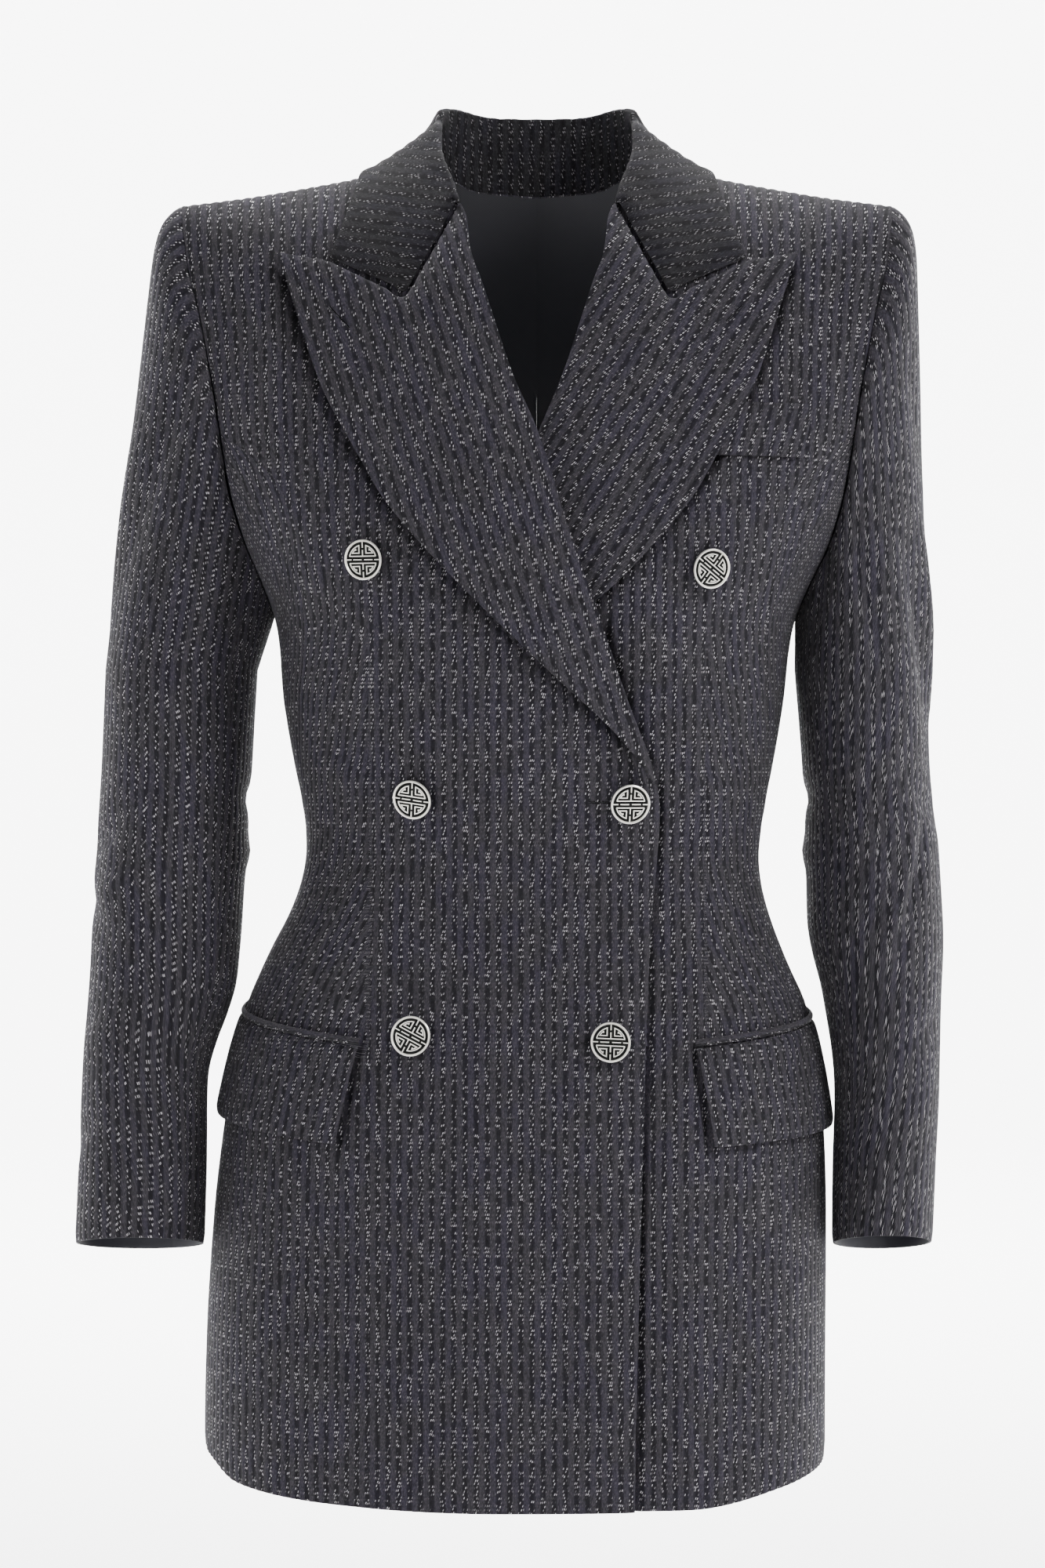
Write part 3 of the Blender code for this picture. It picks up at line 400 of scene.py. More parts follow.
def front_inner(depth, side):
    """Angle at which a row meets the front edge."""
    x = settle_x(depth, FRONT_EDGE, side)
    return angle_of(x, row_z(x, depth))


def armhole_angle(depth, back=False):
    """Angle at which a row meets the armhole."""
    half = [(z, angle) for turn, angle, z in ARMHOLE if (turn >= 180) == back]
    angle = SHOULDER_TIP if not back else 180 - SHOULDER_TIP
    for _ in range(8):
        z = row_z(surface(angle, -depth).x, depth)
        angle = smooth_rows(half, z)[0]
    return angle


def shrink(start, end, z):
    """Angles of a row's ends, drawn in by half a seam gap."""
    trim = math.degrees(SEAM_GAP / smooth_rows(BODY, z)[1])
    return start + math.copysign(trim, end - start), end - math.copysign(trim, end - start)


def no_lift(angle, z):
    """A panel that lies on the body's face all over."""
    return 0.0


def panel_row(depth, start, end, columns, lift=no_lift):
    """Points of one row between two angles."""
    row = []
    for column in range(columns + 1):
        angle = mix(start, end, column / columns)
        z = -depth
        for _ in range(3):
            z = row_z(surface(angle, z).x, depth)
        row.append(placed(angle, z, lift(angle, z))[0])
    return row


def hem_rows(start, end, columns, lift=no_lift):
    """A row half of the way from the last level row to the hem, and one at the hem."""
    rows = []
    for part in (0.5, 1.0):
        row = []
        for column in range(columns + 1):
            angle = mix(start, end, column / columns)
            z = mix(-LOW_DEPTHS[-1], smooth_rows(HEM, angle)[0], part)
            row.append(placed(angle, z, lift(angle, z))[0])
        rows.append(row)
    return rows


def seam_rows(start):
    """Depths of the rows from the top of a side seam to the level ones."""
    return [mix(start, LEVEL_TOP, k / WEDGE_ROWS) for k in range(WEDGE_ROWS + 1)]


def front_rows(side, columns=24):
    """Rows from the front edge to the armhole, and below it to the front's side seam."""
    def lift(angle, z):
        return front_lift(side, angle, z)

    rows = []
    for depth in TOP_DEPTHS + seam_rows(PRINCESS_TOP) + LOW_DEPTHS:
        outer = armhole_angle(depth) if depth < PRINCESS_TOP else smooth_rows(PRINCESS, -depth)[0]
        start, end = shrink(front_inner(depth, side), side * outer, -depth)
        rows.append(panel_row(depth, start, end, columns, lift))
    start, end = shrink(front_inner(HEM_DEPTH, side), side * PRINCESS[0][1], -HEM_DEPTH)
    return rows + hem_rows(start, end, columns, lift)


def spline_weights(count, factor, breaks=()):
    """Weights for a smooth run through points with some steps between each two, cornered at breaks."""
    rows = []
    stops = [0, *breaks, count - 1]
    for low, high in zip(stops, stops[1:]):
        for i in range(low, high):
            for k in range(factor):
                t = k / factor
                row = np.zeros(count)
                before, after = -0.5 * t + t * t - 0.5 * t ** 3, 0.5 * (t ** 3 - t * t)
                row[i] += 1 - 2.5 * t * t + 1.5 * t ** 3
                row[i + 1] += 0.5 * t + 2 * t * t - 1.5 * t ** 3
                if i > low:
                    row[i - 1] += before
                else:
                    row[i] += 2 * before
                    row[i + 1] -= before
                if i + 2 <= high:
                    row[i + 2] += after
                else:
                    row[i + 1] += 2 * after
                    row[i] -= after
                rows.append(row)
    last = np.zeros(count)
    last[-1] = 1.0
    return np.array(rows + [last])


def refined(rows, down, across, breaks=()):
    """A finer grid of points, smooth through the given ones."""
    grid = np.array(rows, dtype=float)
    return np.einsum("ai,bj,ijk->abk", spline_weights(grid.shape[0], down, breaks),
                     spline_weights(grid.shape[1], across), grid)


def face_normals(points, axis=(0.0, 0.0)):
    """Unit normals of a grid, turned away from an upright axis."""
    normals = np.cross(np.gradient(points, axis=1), np.gradient(points, axis=0))
    normals /= np.maximum(np.linalg.norm(normals, axis=2, keepdims=True), 1e-12)
    away = points[..., :2] - np.array(axis)
    return normals * np.sign((away * normals[..., :2]).sum())


def run_across(points):
    """Length along each row from its first point."""
    steps = np.linalg.norm(np.diff(points, axis=1), axis=2)
    return np.concatenate([np.zeros((len(points), 1)), np.cumsum(steps, axis=1)], axis=1)


def level_run(points):
    """Length along each row seen from above, so that cords stay upright on slanting rows."""
    return run_across(points[..., :2])


def run_down(points):
    """Length down each column from its first point."""
    return run_across(points.swapaxes(0, 1)).T


def crease_heights(across, down, creases):
    """Heights of soft troughs and ridges, each round a line, fading at its ends."""
    total = np.zeros_like(across)
    for x0, z0, x1, z1, half, height in creases:
        run_x, run_z = x1 - x0, z1 - z0
        part = ((across - x0) * run_x + (down - z0) * run_z) / (run_x ** 2 + run_z ** 2)
        inside = np.clip(part, 0.0, 1.0)
        gap = np.hypot(across - x0 - inside * run_x, down - z0 - inside * run_z)
        total += height * np.exp(-(gap / half) ** 2) * (0.35 + 0.65 * np.sin(np.pi * inside))
    return total


def cords(u):
    """Height of the cloth's cords at a distance across the grain."""
    return CORD_RELIEF * (0.5 + 0.5 * np.cos(2 * np.pi * u / CORD_PITCH)) ** 0.75 - 0.6 * CORD_RELIEF


def edge_roll(points, edges="lrtb", depth=SEAM_ROLL):
    """Drop towards the named edges of a grid, where the cloth turns into a seam or a fold."""
    across, down = run_across(points), run_down(points)
    gaps = {"l": across, "r": across[:, -1:] - across, "t": down, "b": down[-1:] - down}
    return -sum(depth * np.exp(-gaps[edge] / SEAM_ROLL_RUN) for edge in edges)


def pressed_flat(points):
    """Share of a side seam's roll that is left at a height: it is pressed flat near the armhole."""
    return 0.15 + 0.85 * fade(points[..., 2], -0.26, -0.20)


def set_down(name, made):
    """A mesh, lamp or camera as an object of the scene."""
    piece = bpy.data.objects.new(name, made)
    bpy.context.collection.objects.link(piece)
    return piece


def cloth_piece(name, points, normals, folds, relief, uv, outer, inner, thickness=CLOTH_WALL):
    """A closed wall of cloth from a grid of points: both faces fold, and the outer one has relief."""
    rows, columns = points.shape[:2]
    top = points + normals * (folds + relief)[..., None]
    under = points + normals * (folds - thickness)[..., None]
    index = np.arange(rows * columns).reshape(rows, columns)
    other = index + rows * columns
    a, b, c, d = index[:-1, :-1], index[:-1, 1:], index[1:, 1:], index[1:, :-1]
    upper = np.stack([a, b, c, d], axis=-1).reshape(-1, 4)
    ring = np.concatenate([index[0, :], index[1:, -1], index[-1, -2::-1], index[-2:0:-1, 0]])
    ring_under = ring + rows * columns
    rim = np.stack([ring, ring_under, np.roll(ring_under, -1), np.roll(ring, -1)], axis=-1)
    lower = upper[:, ::-1] + rows * columns
    faces = np.concatenate([upper, rim, lower])
    middle = normals[rows // 2, columns // 2]
    turn = np.cross(points[rows // 2, columns // 2 + 1] - points[rows // 2, columns // 2],
                    points[rows // 2 + 1, columns // 2] - points[rows // 2, columns // 2])
    if np.dot(turn, middle) < 0:
        faces = faces[:, ::-1]
    mesh = bpy.data.meshes.new(name)
    verts = np.concatenate([top.reshape(-1, 3), under.reshape(-1, 3)])
    mesh.from_pydata(verts.tolist(), [], faces.tolist())
    mesh.materials.append(outer)
    mesh.materials.append(inner)
    kinds = np.zeros(len(faces), dtype=np.int32)
    kinds[len(upper) + len(rim):] = 1
    mesh.polygons.foreach_set("material_index", kinds)
    flat_uv = np.concatenate([uv.reshape(-1, 2)] * 2)
    corners = np.zeros(len(mesh.loops), dtype=np.int32)
    mesh.loops.foreach_get("vertex_index", corners)
    mesh.uv_layers.new(name="cloth").data.foreach_set("uv", flat_uv[corners].astype(np.float32).ravel())
    mesh.shade_smooth()
    mesh.set_sharp_from_angle(angle=math.radians(50))
    return set_down(name, mesh)


def declare(piece, node, points):
    """Ties a piece of cloth to the body and hides the solid that it stands for."""
    length = float(run_down(points)[-1].max())
    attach(piece, "root")
    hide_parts(node)


def front_grain(side, points):
    """Grain of a front: upright from the front edge to the dart, then along the side seam."""
    across = level_run(points)
    x, z = points[..., 0], points[..., 2]
    at_middle = np.array([np.interp(0.0, side * x[k], across[k]) for k in range(len(x))])
    reach = across - at_middle[:, None] + np.maximum(side * x[:, :1], 0.0)
    whole = reach[:, -1]
    order = np.argsort(z[:, -1])
    whole_at_top = np.interp(DART_TOP, z[order, -1], whole[order])
    along_seam = whole_at_top - (whole[:, None] - reach)
    past_dart = (side * x > DART_X) & (z < DART_TOP) & (z > DART_END)
    return side * np.where(past_dart, along_seam, reach)


def dart_height(side, points):
    """The stitched line of a waist dart, a narrow trough that fades at its top."""
    gap = (side * points[..., 0] - DART_X) / DART_HALF
    z = points[..., 2]
    return -DART_SINK * np.exp(-gap ** 2) * fade(z, DART_TOP - 0.02, DART_TOP) * (z > DART_END)


def lap_height(side, points):
    """The lapped front's edge rolls under, and the front below it is pressed in along that edge."""
    x, z = points[..., 0], points[..., 2]
    if side < 0:
        return -LAP_ROLL[0] * np.exp(-run_across(points) / LAP_ROLL[1]) * fade(z, -0.36, -0.30)
    edge = np.array([smooth_rows(FRONT_EDGE, value)[0] for value in z[:, len(z[0]) // 4]])
    gap = (x - edge[:, None] - LAP_GROOVE[1]) / LAP_GROOVE[0]
    dip, middle, half = LAP_DIP
    depth = LAP_SINK + dip * np.exp(-((z - middle) / half) ** 2)
    return -depth * np.exp(-gap ** 2) * fade(z, -0.285, -0.268)


def lapel_valley(side, word, points):
    """The front sinks along the lapel's outer edge, wider on the wearer's right."""
    half, depth, aside = LAPEL_VALLEY[word]
    line = np.array([smooth_rows(LAPEL_EDGE, share) for share in np.linspace(0.03, 0.97, 60)])
    gaps = np.hypot(side * points[..., 0, None] + line[:, 0] - aside,
                    points[..., 2, None] - line[:, 1] + aside).min(axis=-1)
    return -depth * np.exp(-(gaps / half) ** 2)


# Hip flaps, which the fronts sink along: side, angles of the front end and the side end, heights of
# the top at the front end and at the side, and of the foot there
FLAPS = {
    "right": (-1, 31.2, 97.0, -0.5167, -0.5005, -0.5725, -0.5575),
    "left": (1, 31.8, 97.0, -0.5176, -0.5040, -0.5740, -0.5650),
}
FLAP_SLANT = 2.4         # how far a flap's front end leans to the side, in degrees
FLAP_SPAN = (31.0, 90.0)         # angles at which those heights hold


def flap_line(values, angle):
    """Height that runs from the front end's value to the side's."""
    return mix(values[0], values[1], (abs(angle) - FLAP_SPAN[0]) / (FLAP_SPAN[1] - FLAP_SPAN[0]))


def flap_valley(word, points):
    """The front sinks a little along the front end of the hip flap."""
    side, start, _, top, _, low, _ = FLAPS[word]
    gaps = np.full(points.shape[:2], 1.0)
    for share in np.linspace(0.0, 1.0, 40):
        point = placed(side * (start + FLAP_SLANT * share), mix(top, low, share), 0.0)[0]
        gaps = np.minimum(gaps, np.linalg.norm(points - np.array(point), axis=-1))
    half, depth = FLAP_VALLEY
    return -depth * np.exp(-(gaps / half) ** 2)


SIDES = ((-1, "right"), (1, "left"))
FRONT_BREAK = len(TOP_DEPTHS)
side_reach = {}          # heights down each side seam and how far the front's cloth reaches there
for side, word in SIDES:
    points = refined(front_rows(side), 3, 9, breaks=(FRONT_BREAK,))
    normals = face_normals(points)
    u = front_grain(side, points)
    folds = crease_heights(points[..., 0], points[..., 2], FRONT_CREASES[word])
    folds += lap_height(side, points) + lapel_valley(side, word, points) + flap_valley(word, points)
    relief = cords(u) + dart_height(side, points) + edge_roll(points, "ltb")
    relief += edge_roll(points, "r") * pressed_flat(points)
    side_reach[side] = (points[::-1, -1, 2], side * u[::-1, -1])
    uv = np.stack([u, points[..., 2]], axis=-1)
    piece = cloth_piece("front_cloth_" + word, points, normals, folds, relief, uv, suiting, lining)
    declare(piece, "front_" + word, points)


# Side panels
# A panel under each arm, cut between the front's and the back's side seams. Its cords lean with the
# armhole at the top and straighten towards the waist.
SIDE_UPRIGHT = 0.65      # 0 is along the front's side seam and 1 is upright, near the armhole
UNDER_ARM = (97.0, 240.0)        # turns round the armhole that the panel lies under
SIDEBACK_TOP = 0.215     # depth of the back side seam's top
# Back side seam: height, angle round the body
SIDEBACK = [
    (-0.790, 126.0), (-0.600, 126.0), (-0.480, 127.0), (-0.400, 129.0), (-0.340, 127.0),
    (-0.300, 123.0), (-0.250, 117.0), (-0.215, 112.0),
]


def side_rows(side, columns=12):
    """Rows from the front's side seam round under the armhole to the back's side seam."""
    tops = []
    for column in range(columns + 1):
        tops.append(smooth_rows(ARMHOLE, mix(*UNDER_ARM, column / columns)))
    tops[0] = (smooth_rows(PRINCESS, -PRINCESS_TOP)[0], -PRINCESS_TOP)
    tops[-1] = (smooth_rows(SIDEBACK, -SIDEBACK_TOP)[0], -SIDEBACK_TOP)

    def across(column, z):
        """Angle of a column at a height below the armhole."""
        start, end = shrink(smooth_rows(PRINCESS, z)[0], smooth_rows(SIDEBACK, z)[0], z)
        return mix(start, end, column / columns)

    rows = []
    for k in range(WEDGE_ROWS + 1):
        row = []
        for column, (top_angle, top_z) in enumerate(tops):
            z = mix(top_z, -LEVEL_TOP, k / WEDGE_ROWS)
            shift = 0.0 if column in (0, columns) else top_angle - across(column, top_z)
            angle = across(column, z) + shift * (1.0 - k / WEDGE_ROWS) ** 2
            row.append(placed(side * angle, z, 0.0)[0])
        rows.append(row)
    for depth in LOW_DEPTHS:
        angles = [side * across(column, -depth) for column in range(columns + 1)]
        rows.append([placed(angle, -depth, 0.0)[0] for angle in angles])
    start, end = side * across(0, -HEM_DEPTH), side * across(columns, -HEM_DEPTH)
    return rows + hem_rows(start, end, columns)


# Creases of a side panel: length from the front's side seam, height to length, height, half width, height
SIDE_CREASES = [
    (0.020, -0.372, 0.075, -0.386, 0.0060, -0.0012), (0.015, -0.398, 0.070, -0.410, 0.0060, 0.0009),
    (0.040, -0.425, 0.085, -0.414, 0.0055, -0.0009), (0.055, -0.600, 0.060, -0.750, 0.0150, -0.0015),
]
for side, word in SIDES:
    points = refined(side_rows(side), 3, 8)
    across = run_across(points)
    heights, reaches = side_reach[side]
    above = np.maximum(points[:, 0, 2], DART_TOP)
    u = side * (across + SIDE_UPRIGHT * np.interp(above, heights, reaches)[:, None])
    folds = crease_heights(across, points[..., 2], SIDE_CREASES)
    relief = cords(u) + edge_roll(points, "rtb") + edge_roll(points, "l") * pressed_flat(points)
    uv = np.stack([u, points[..., 2]], axis=-1)
    piece = cloth_piece("side_cloth_" + word, points, face_normals(points), folds, relief, uv, suiting,
                        lining)
    declare(piece, "side_" + word, points)


# Back
# Two panels sewn together down the middle of the back and shaped in at the waist, with the same
# soft drag lines that a fitted waist gives in front.
# Back neckline: depth below the shoulder line, distance from the middle
BACK_NECK = [
    (0.0, 0.0665), (0.0038, 0.0610), (0.0120, 0.0470), (0.0225, 0.0260), (0.0258, 0.0110), (0.0265, 0.0),
]
NECK_FOOT = -0.045       # height above which the neckline cuts the cords short
BACK_CREASES = [         # of the wearer's left, as the fronts' are given, and mirrored
    (0.015, -0.392, 0.070, -0.376, 0.0070, -0.0014), (0.012, -0.412, 0.082, -0.402, 0.0065, 0.0010),
    (0.020, -0.440, 0.075, -0.424, 0.0070, -0.0012), (0.110, -0.120, 0.150, -0.200, 0.0120, -0.0016),
    (0.125, -0.090, 0.162, -0.150, 0.0100, 0.0011), (0.080, -0.610, 0.088, -0.755, 0.0160, -0.0016),
    (0.030, -0.060, 0.120, -0.075, 0.0140, -0.0009),
]


def back_rows(side, columns=18):
    """Rows from the middle of the back to the armhole, and below it to the back's side seam."""
    rows = []
    for depth in TOP_DEPTHS + [0.176, 0.195] + seam_rows(SIDEBACK_TOP) + LOW_DEPTHS:
        x = smooth_rows(BACK_NECK, depth)[0] if depth < BACK_NECK[-1][0] else 0.0
        centre = smooth_rows(BODY, -depth)[0]
        inner = 180 - abs(angle_of(centre + max(x, SEAM_GAP / 2), -depth))
        outer = smooth_rows(SIDEBACK, -depth)[0]
        if depth < SIDEBACK_TOP:
            outer = armhole_angle(depth, back=True)
        end = shrink(side * inner, side * outer, -depth)[1]
        rows.append(panel_row(depth, side * inner, end, columns))
    end = shrink(side * inner, side * SIDEBACK[0][1], -HEM_DEPTH)[1]
    return rows + hem_rows(side * inner, end, columns)


for side, word in SIDES:
    points = refined(back_rows(side), 3, 8, breaks=(6, FRONT_BREAK + 2,))
    across = run_across(points)
    x, z = points[..., 0], points[..., 2]
    neck = np.maximum(side * x[:, :1], 0.0)
    u = -side * (across + np.where(z > NECK_FOOT, neck, 0.0))
    folds = crease_heights(side * x, z, BACK_CREASES)
    relief = cords(u) + edge_roll(points)
    uv = np.stack([u, z], axis=-1)
    piece = cloth_piece("back_cloth_" + word, points, face_normals(points), folds, relief, uv, suiting,
                        lining)
    declare(piece, "back_" + word, points)


# Lapels
# The fronts' upper parts, turned back along the roll line and cut to a peak. They are faced with the
# same cloth, so their cords run on the slant, and they lie soft over the chest.
# Corners of the collar's front end and of the lapel's peak: distance past the middle, height
GORGE = (-0.0450, -0.0310)
NOTCH = (-0.0749, -0.0903)
COLLAR_TIP = (-0.1195, -0.0680)
PEAK = (-0.1487, -0.0635)
LAPEL_TOP = [(-0.0441, -0.0335), (-0.0746, -0.0913), (-0.1198, -0.0687), PEAK]
LAPEL_LIFT = 0.0036      # of its face over the front
LAPEL_ROLL = 0.0028      # how far it swells between the roll line and the edge
LAPEL_UNDER = 0.0027     # the left one's lift where the right one crosses it
LAPEL_RISE = 0.0034      # how far its outer edge stands off further
LAPEL_ROWS = 30
LAPEL_END = 0.965        # share of the roll line where it ends, above the break
LAPEL_COLUMNS = [0.0, 0.08, 0.18, 0.31, 0.4576, 0.54, 0.62, 0.71, 0.799, 0.87, 0.935, 1.0]
LAPEL_SLANT = {"right": 17.0, "left": 32.0}      # of its cords, in degrees
LAPEL_WALL = 0.0016
TURNED_ROLL = 0.0006     # how far a lapel's or the collar's edge rolls in


def polyline(points, part):
    """A point part of the way along straight stretches, by length."""
    lengths = [math.dist(a, b) for a, b in zip(points, points[1:])]
    left = part * sum(lengths)
    for (a, b), length in zip(zip(points, points[1:]), lengths):
        if left <= length or b is points[-1]:
            share = min(left / length, 1.0)
            return mix(a[0], b[0], share), mix(a[1], b[1], share)
        left -= length
    return points[-1]


def lapel_flat(v, u):
    """Where a lapel's point lies over the right front: distance from the middle and height."""
    roll_z = mix(GORGE[1], BREAK_Z, v)
    roll_x = smooth_rows(FRONT_EDGE, roll_z)[0]
    edge_x, edge_z = smooth_rows(LAPEL_EDGE, v)
    x, z = mix(roll_x, edge_x, u), mix(roll_z, edge_z, u)
    top_x, top_z = polyline(LAPEL_TOP, u)
    ease = (1.0 - v) ** 5
    x += (top_x - mix(GORGE[0], PEAK[0], u)) * ease
    z += (top_z - mix(GORGE[1], PEAK[1], u)) * ease
    return x, z


def lapel_height(side, x, z, u, v):
    """Height of a lapel's face above its front."""
    roll = LAPEL_ROLL * math.sin(math.pi * min(u * 1.5 + 0.05, 1.0)) * math.sin(math.pi * v ** 0.5)
    height = LAPEL_LIFT + roll + LAPEL_RISE * u ** 2
    if side > 0:
        gap = -x - smooth_rows(FRONT_EDGE, z)[0]
        height = mix(height, LAPEL_UNDER, fade(gap, 0.002, 0.03) * fade(z, -0.16, -0.12))
    return height


def lapel_rows(side):
    """Rows from the notch down to the break, each from the roll line to the outer edge."""
    rows = []
    for k in range(LAPEL_ROWS + 1):
        v = LAPEL_END * (k / LAPEL_ROWS) ** 1.1
        row = []
        for u in LAPEL_COLUMNS:
            x, z = lapel_flat(v, u)
            height = lapel_height(side, x, z, u, v)
            x = x if side < 0 else -x
            angle = angle_of(x, z)
            row.append(placed(angle, z, front_lift(side, angle, z) + height)[0])
        rows.append(row)
    return rows


lapel_faces = {}
for side, word in SIDES:
    points = refined(lapel_rows(side), 2, 8)
    normals = face_normals(points)
    slant = math.radians(LAPEL_SLANT[word])
    x, z = points[..., 0], points[..., 2]
    u = math.cos(slant) * x - side * math.sin(slant) * z
    v = math.cos(slant) * z + side * math.sin(slant) * x
    relief = cords(u) + edge_roll(points, "rtb", TURNED_ROLL)
    lapel_faces[side] = (points + normals * relief[..., None]).reshape(-1, 3)
    piece = cloth_piece("lapel_cloth_" + word, points, normals, np.zeros_like(u), relief,
                        np.stack([u, v], axis=-1), suiting, suiting, LAPEL_WALL)
    declare(piece, "lapel_" + word, points)


# Collar
# One strip with its stand against the neck and its fall turned down over the seam. Its cords are
# upright at the middle of the back, so they cross it everywhere and lie level in front.
# Sections from the middle of the back to the front end: the foot's distance from the middle and depth
# below the shoulder line (behind it where negative), the fold's x, y and z from the foot, and the
# edge's distance and depth
COLLAR = [
    (0.0000, -0.0265, 0.0000, 0.0010, 0.0470, 0.0000, -0.0400),
    (-0.0260, -0.0225, -0.0010, 0.0010, 0.0475, -0.0400, -0.0385),
    (-0.0470, -0.0120, 0.0020, -0.0020, 0.0430, -0.0720, -0.0290),
    (-0.0610, -0.0038, 0.0070, -0.0030, 0.0345, -0.0930, -0.0140),
    (-0.0665, 0.0000, 0.0120, 0.0000, 0.0220, -0.1020, 0.0005),
    (-0.0645, 0.0080, 0.0105, 0.0000, 0.0105, -0.1055, 0.0130),
    (-0.0580, 0.0190, 0.0096, -0.0045, 0.0035, -0.1110, 0.0320),
    (-0.0450, 0.0345, 0.0015, -0.0048, 0.0015, -0.1195, 0.0565),
]
COLLAR_STATIONS = 48
COLLAR_END = len(COLLAR) - 1
COLLAR_SHORT = 0.006     # how far the ends stop short of the last section
COLLAR_EDGE_LIFT = 0.0042
COLLAR_TILT = 0.15       # fall of the cords towards the neck, in front
STAND_TUCK = 0.0018      # how far the stand reaches down inside the neckline
FOLD_RADIUS = 0.0030
FALL_SHARES = (0.12, 0.26, 0.42, 0.5727, 0.65, 0.72, 0.79, 0.86, 0.93, 1.0)      # from fold to edge
COLLAR_WALL = 0.0012
TURN_START, TURN_END = 0.30, 0.56        # shares of the half length over which its cords turn level


def over_shoulder(x, depth):
    """The body's face at a depth below the shoulder line, behind it where the depth is negative."""
    z = row_z(x, abs(depth))
    angle = angle_of(x, z)
    if depth < 0:
        angle = math.copysign(180.0, x - 1e-9) - angle
    return placed(angle, z, 0.0)


def collar_station(part):
    """One section of the collar, from the stand's foot over the fold to the edge of the fall."""
    rows = [(index, *row) for index, row in enumerate(COLLAR)]
    foot_x, foot_d, fx, fy, fz, edge_x, edge_d = smooth_rows(rows, part)
    foot = over_shoulder(foot_x, foot_d)[0]
    fold = Vector((fx, fy, fz))
    bend = max(part - (COLLAR_END - 3), 0.0) / 3.0
    up = fold.normalized()
    radius = min(FOLD_RADIUS, fold.length * 0.45)
    away = over_shoulder(edge_x, edge_d)[0] - foot
    away = (away - up * away.dot(up)).normalized()
    start = foot - up * STAND_TUCK
    points = [start.lerp(foot + fold - up * radius, share) for share in (0.0, 0.35, 0.7)]
    for turn in (0, 60, 120, 180):
        angle = math.radians(turn)
        arc = away * (1.0 - math.cos(angle)) + up * (math.sin(angle) - 1.0)
        points.append(foot + fold + arc * radius)
    start = points[-1] - foot
    for share in FALL_SHARES:
        x, depth = mix(foot_x, edge_x, share), mix(foot_d, edge_d, share)
        if bend > 0:
            gorge_x, gorge_z = polyline([GORGE, NOTCH, COLLAR_TIP], share)
            x += (gorge_x - mix(GORGE[0], COLLAR_TIP[0], share)) * bend ** 3
            depth -= (gorge_z - mix(GORGE[1], COLLAR_TIP[1], share)) * bend ** 3
        ground, normal = over_shoulder(x, depth)
        keep = (1.0 - share) ** (1.5 + bend)
        points.append(ground + start * keep + normal * COLLAR_EDGE_LIFT * (1.0 - keep))
    return points


def collar_rows():
    """Sections from the wearer's right end round the back of the neck to the left end."""
    half = COLLAR_STATIONS // 2
    grid = []
    for k in range(-half, half + 1):
        points = collar_station(min(abs(k) / half * COLLAR_END, COLLAR_END - COLLAR_SHORT))
        if k < 0:
            points = [Vector((-p.x, p.y, p.z)) for p in points]
        grid.append(points)
    return grid


# The collar's copy of the suiting is painted darker and has fewer metal floats: painted shade and fewer
# painted glints, for cords lying across the light
collar_shaded_suiting = corded_suiting("corded_wool_painted_shade_collar", "#1c1b1d", "#0f0e10", 0.45)
points = refined(collar_rows(), 2, 7)
normals = face_normals(points)
half = len(points) // 2
down = run_down(points)
from_middle = np.abs(down - down[half])
end_share = np.abs(np.linspace(-1.0, 1.0, len(points)))[:, None]
level = -points[..., 2] + COLLAR_TILT * np.abs(points[..., 0])
turn = int(half * 0.42)
level += (from_middle - level)[half + turn, -60:].mean()
share = fade(end_share, TURN_START, TURN_END)
u = (from_middle * share + level * (1.0 - share)) * np.sign(np.arange(len(points)) - half)[:, None]
v = run_across(points)
relief = cords(u) + edge_roll(points, "rtb", TURNED_ROLL)
collar = cloth_piece("collar_cloth", points, normals, np.zeros_like(u), relief, np.stack([u, v], axis=-1),
                     collar_shaded_suiting, collar_shaded_suiting, COLLAR_WALL)
declare(collar, "collar", points)


# Sleeves
# Two-piece sleeves set into padded shoulders, with a rolled head at the top. The upper part shows in
# front and the under part closes it behind; both bend a little at the elbow.
# Level sections: height, sideways centre, half width, centre from front to back, half depth, tilt
SLEEVE_RIGHT = [
    (-0.300, -0.2088, 0.0445, 0.0060, 0.0610, 0.00), (-0.360, -0.2118, 0.0440, 0.0060, 0.0585, 0.00),
    (-0.420, -0.2155, 0.0440, 0.0020, 0.0560, 0.03), (-0.480, -0.2188, 0.0430, -0.0050, 0.0530, 0.08),
    (-0.540, -0.2290, 0.0365, -0.0140, 0.0490, 0.12), (-0.590, -0.2298, 0.0372, -0.0220, 0.0450, 0.15),
    (-0.634, -0.2310, 0.0375, -0.0290, 0.0430, 0.16),
]
SLEEVE_LEFT = [
    (-0.300, 0.1905, 0.0388, 0.0060, 0.0640, 0.00), (-0.360, 0.1935, 0.0372, 0.0060, 0.0620, 0.00),
    (-0.404, 0.1968, 0.0388, 0.0040, 0.0600, 0.02), (-0.450, 0.1985, 0.0395, 0.0000, 0.0570, 0.05),
    (-0.490, 0.2020, 0.0345, -0.0060, 0.0560, 0.08), (-0.540, 0.2045, 0.0305, -0.0110, 0.0540, 0.12),
    (-0.590, 0.2025, 0.0298, -0.0170, 0.0510, 0.15), (-0.634, 0.2010, 0.0290, -0.0230, 0.0490, 0.16),
]
SLEEVE_HEAD = 0.0140     # how far the rolled head stands out
SLEEVE_HEAD_ROUND = 0.008
SLEEVE_CLEAR = 0.00005   # between the sleeve and the armhole
ARM_RADIUS = 0.04        # at which half a seam gap between its two parts is turned to degrees
# Places of the rows: 0 is at the armhole, 1 at the upper arm, 2 at the cuff
SLEEVE_LEVELS = [0.0, 0.012, 0.03, 0.05, 0.08, 0.12, 0.18, 0.26, 0.36, 0.48, 0.61, 0.74, 0.87]
SLEEVE_LEVELS += [1.0 + k / 20 for k in range(21)]
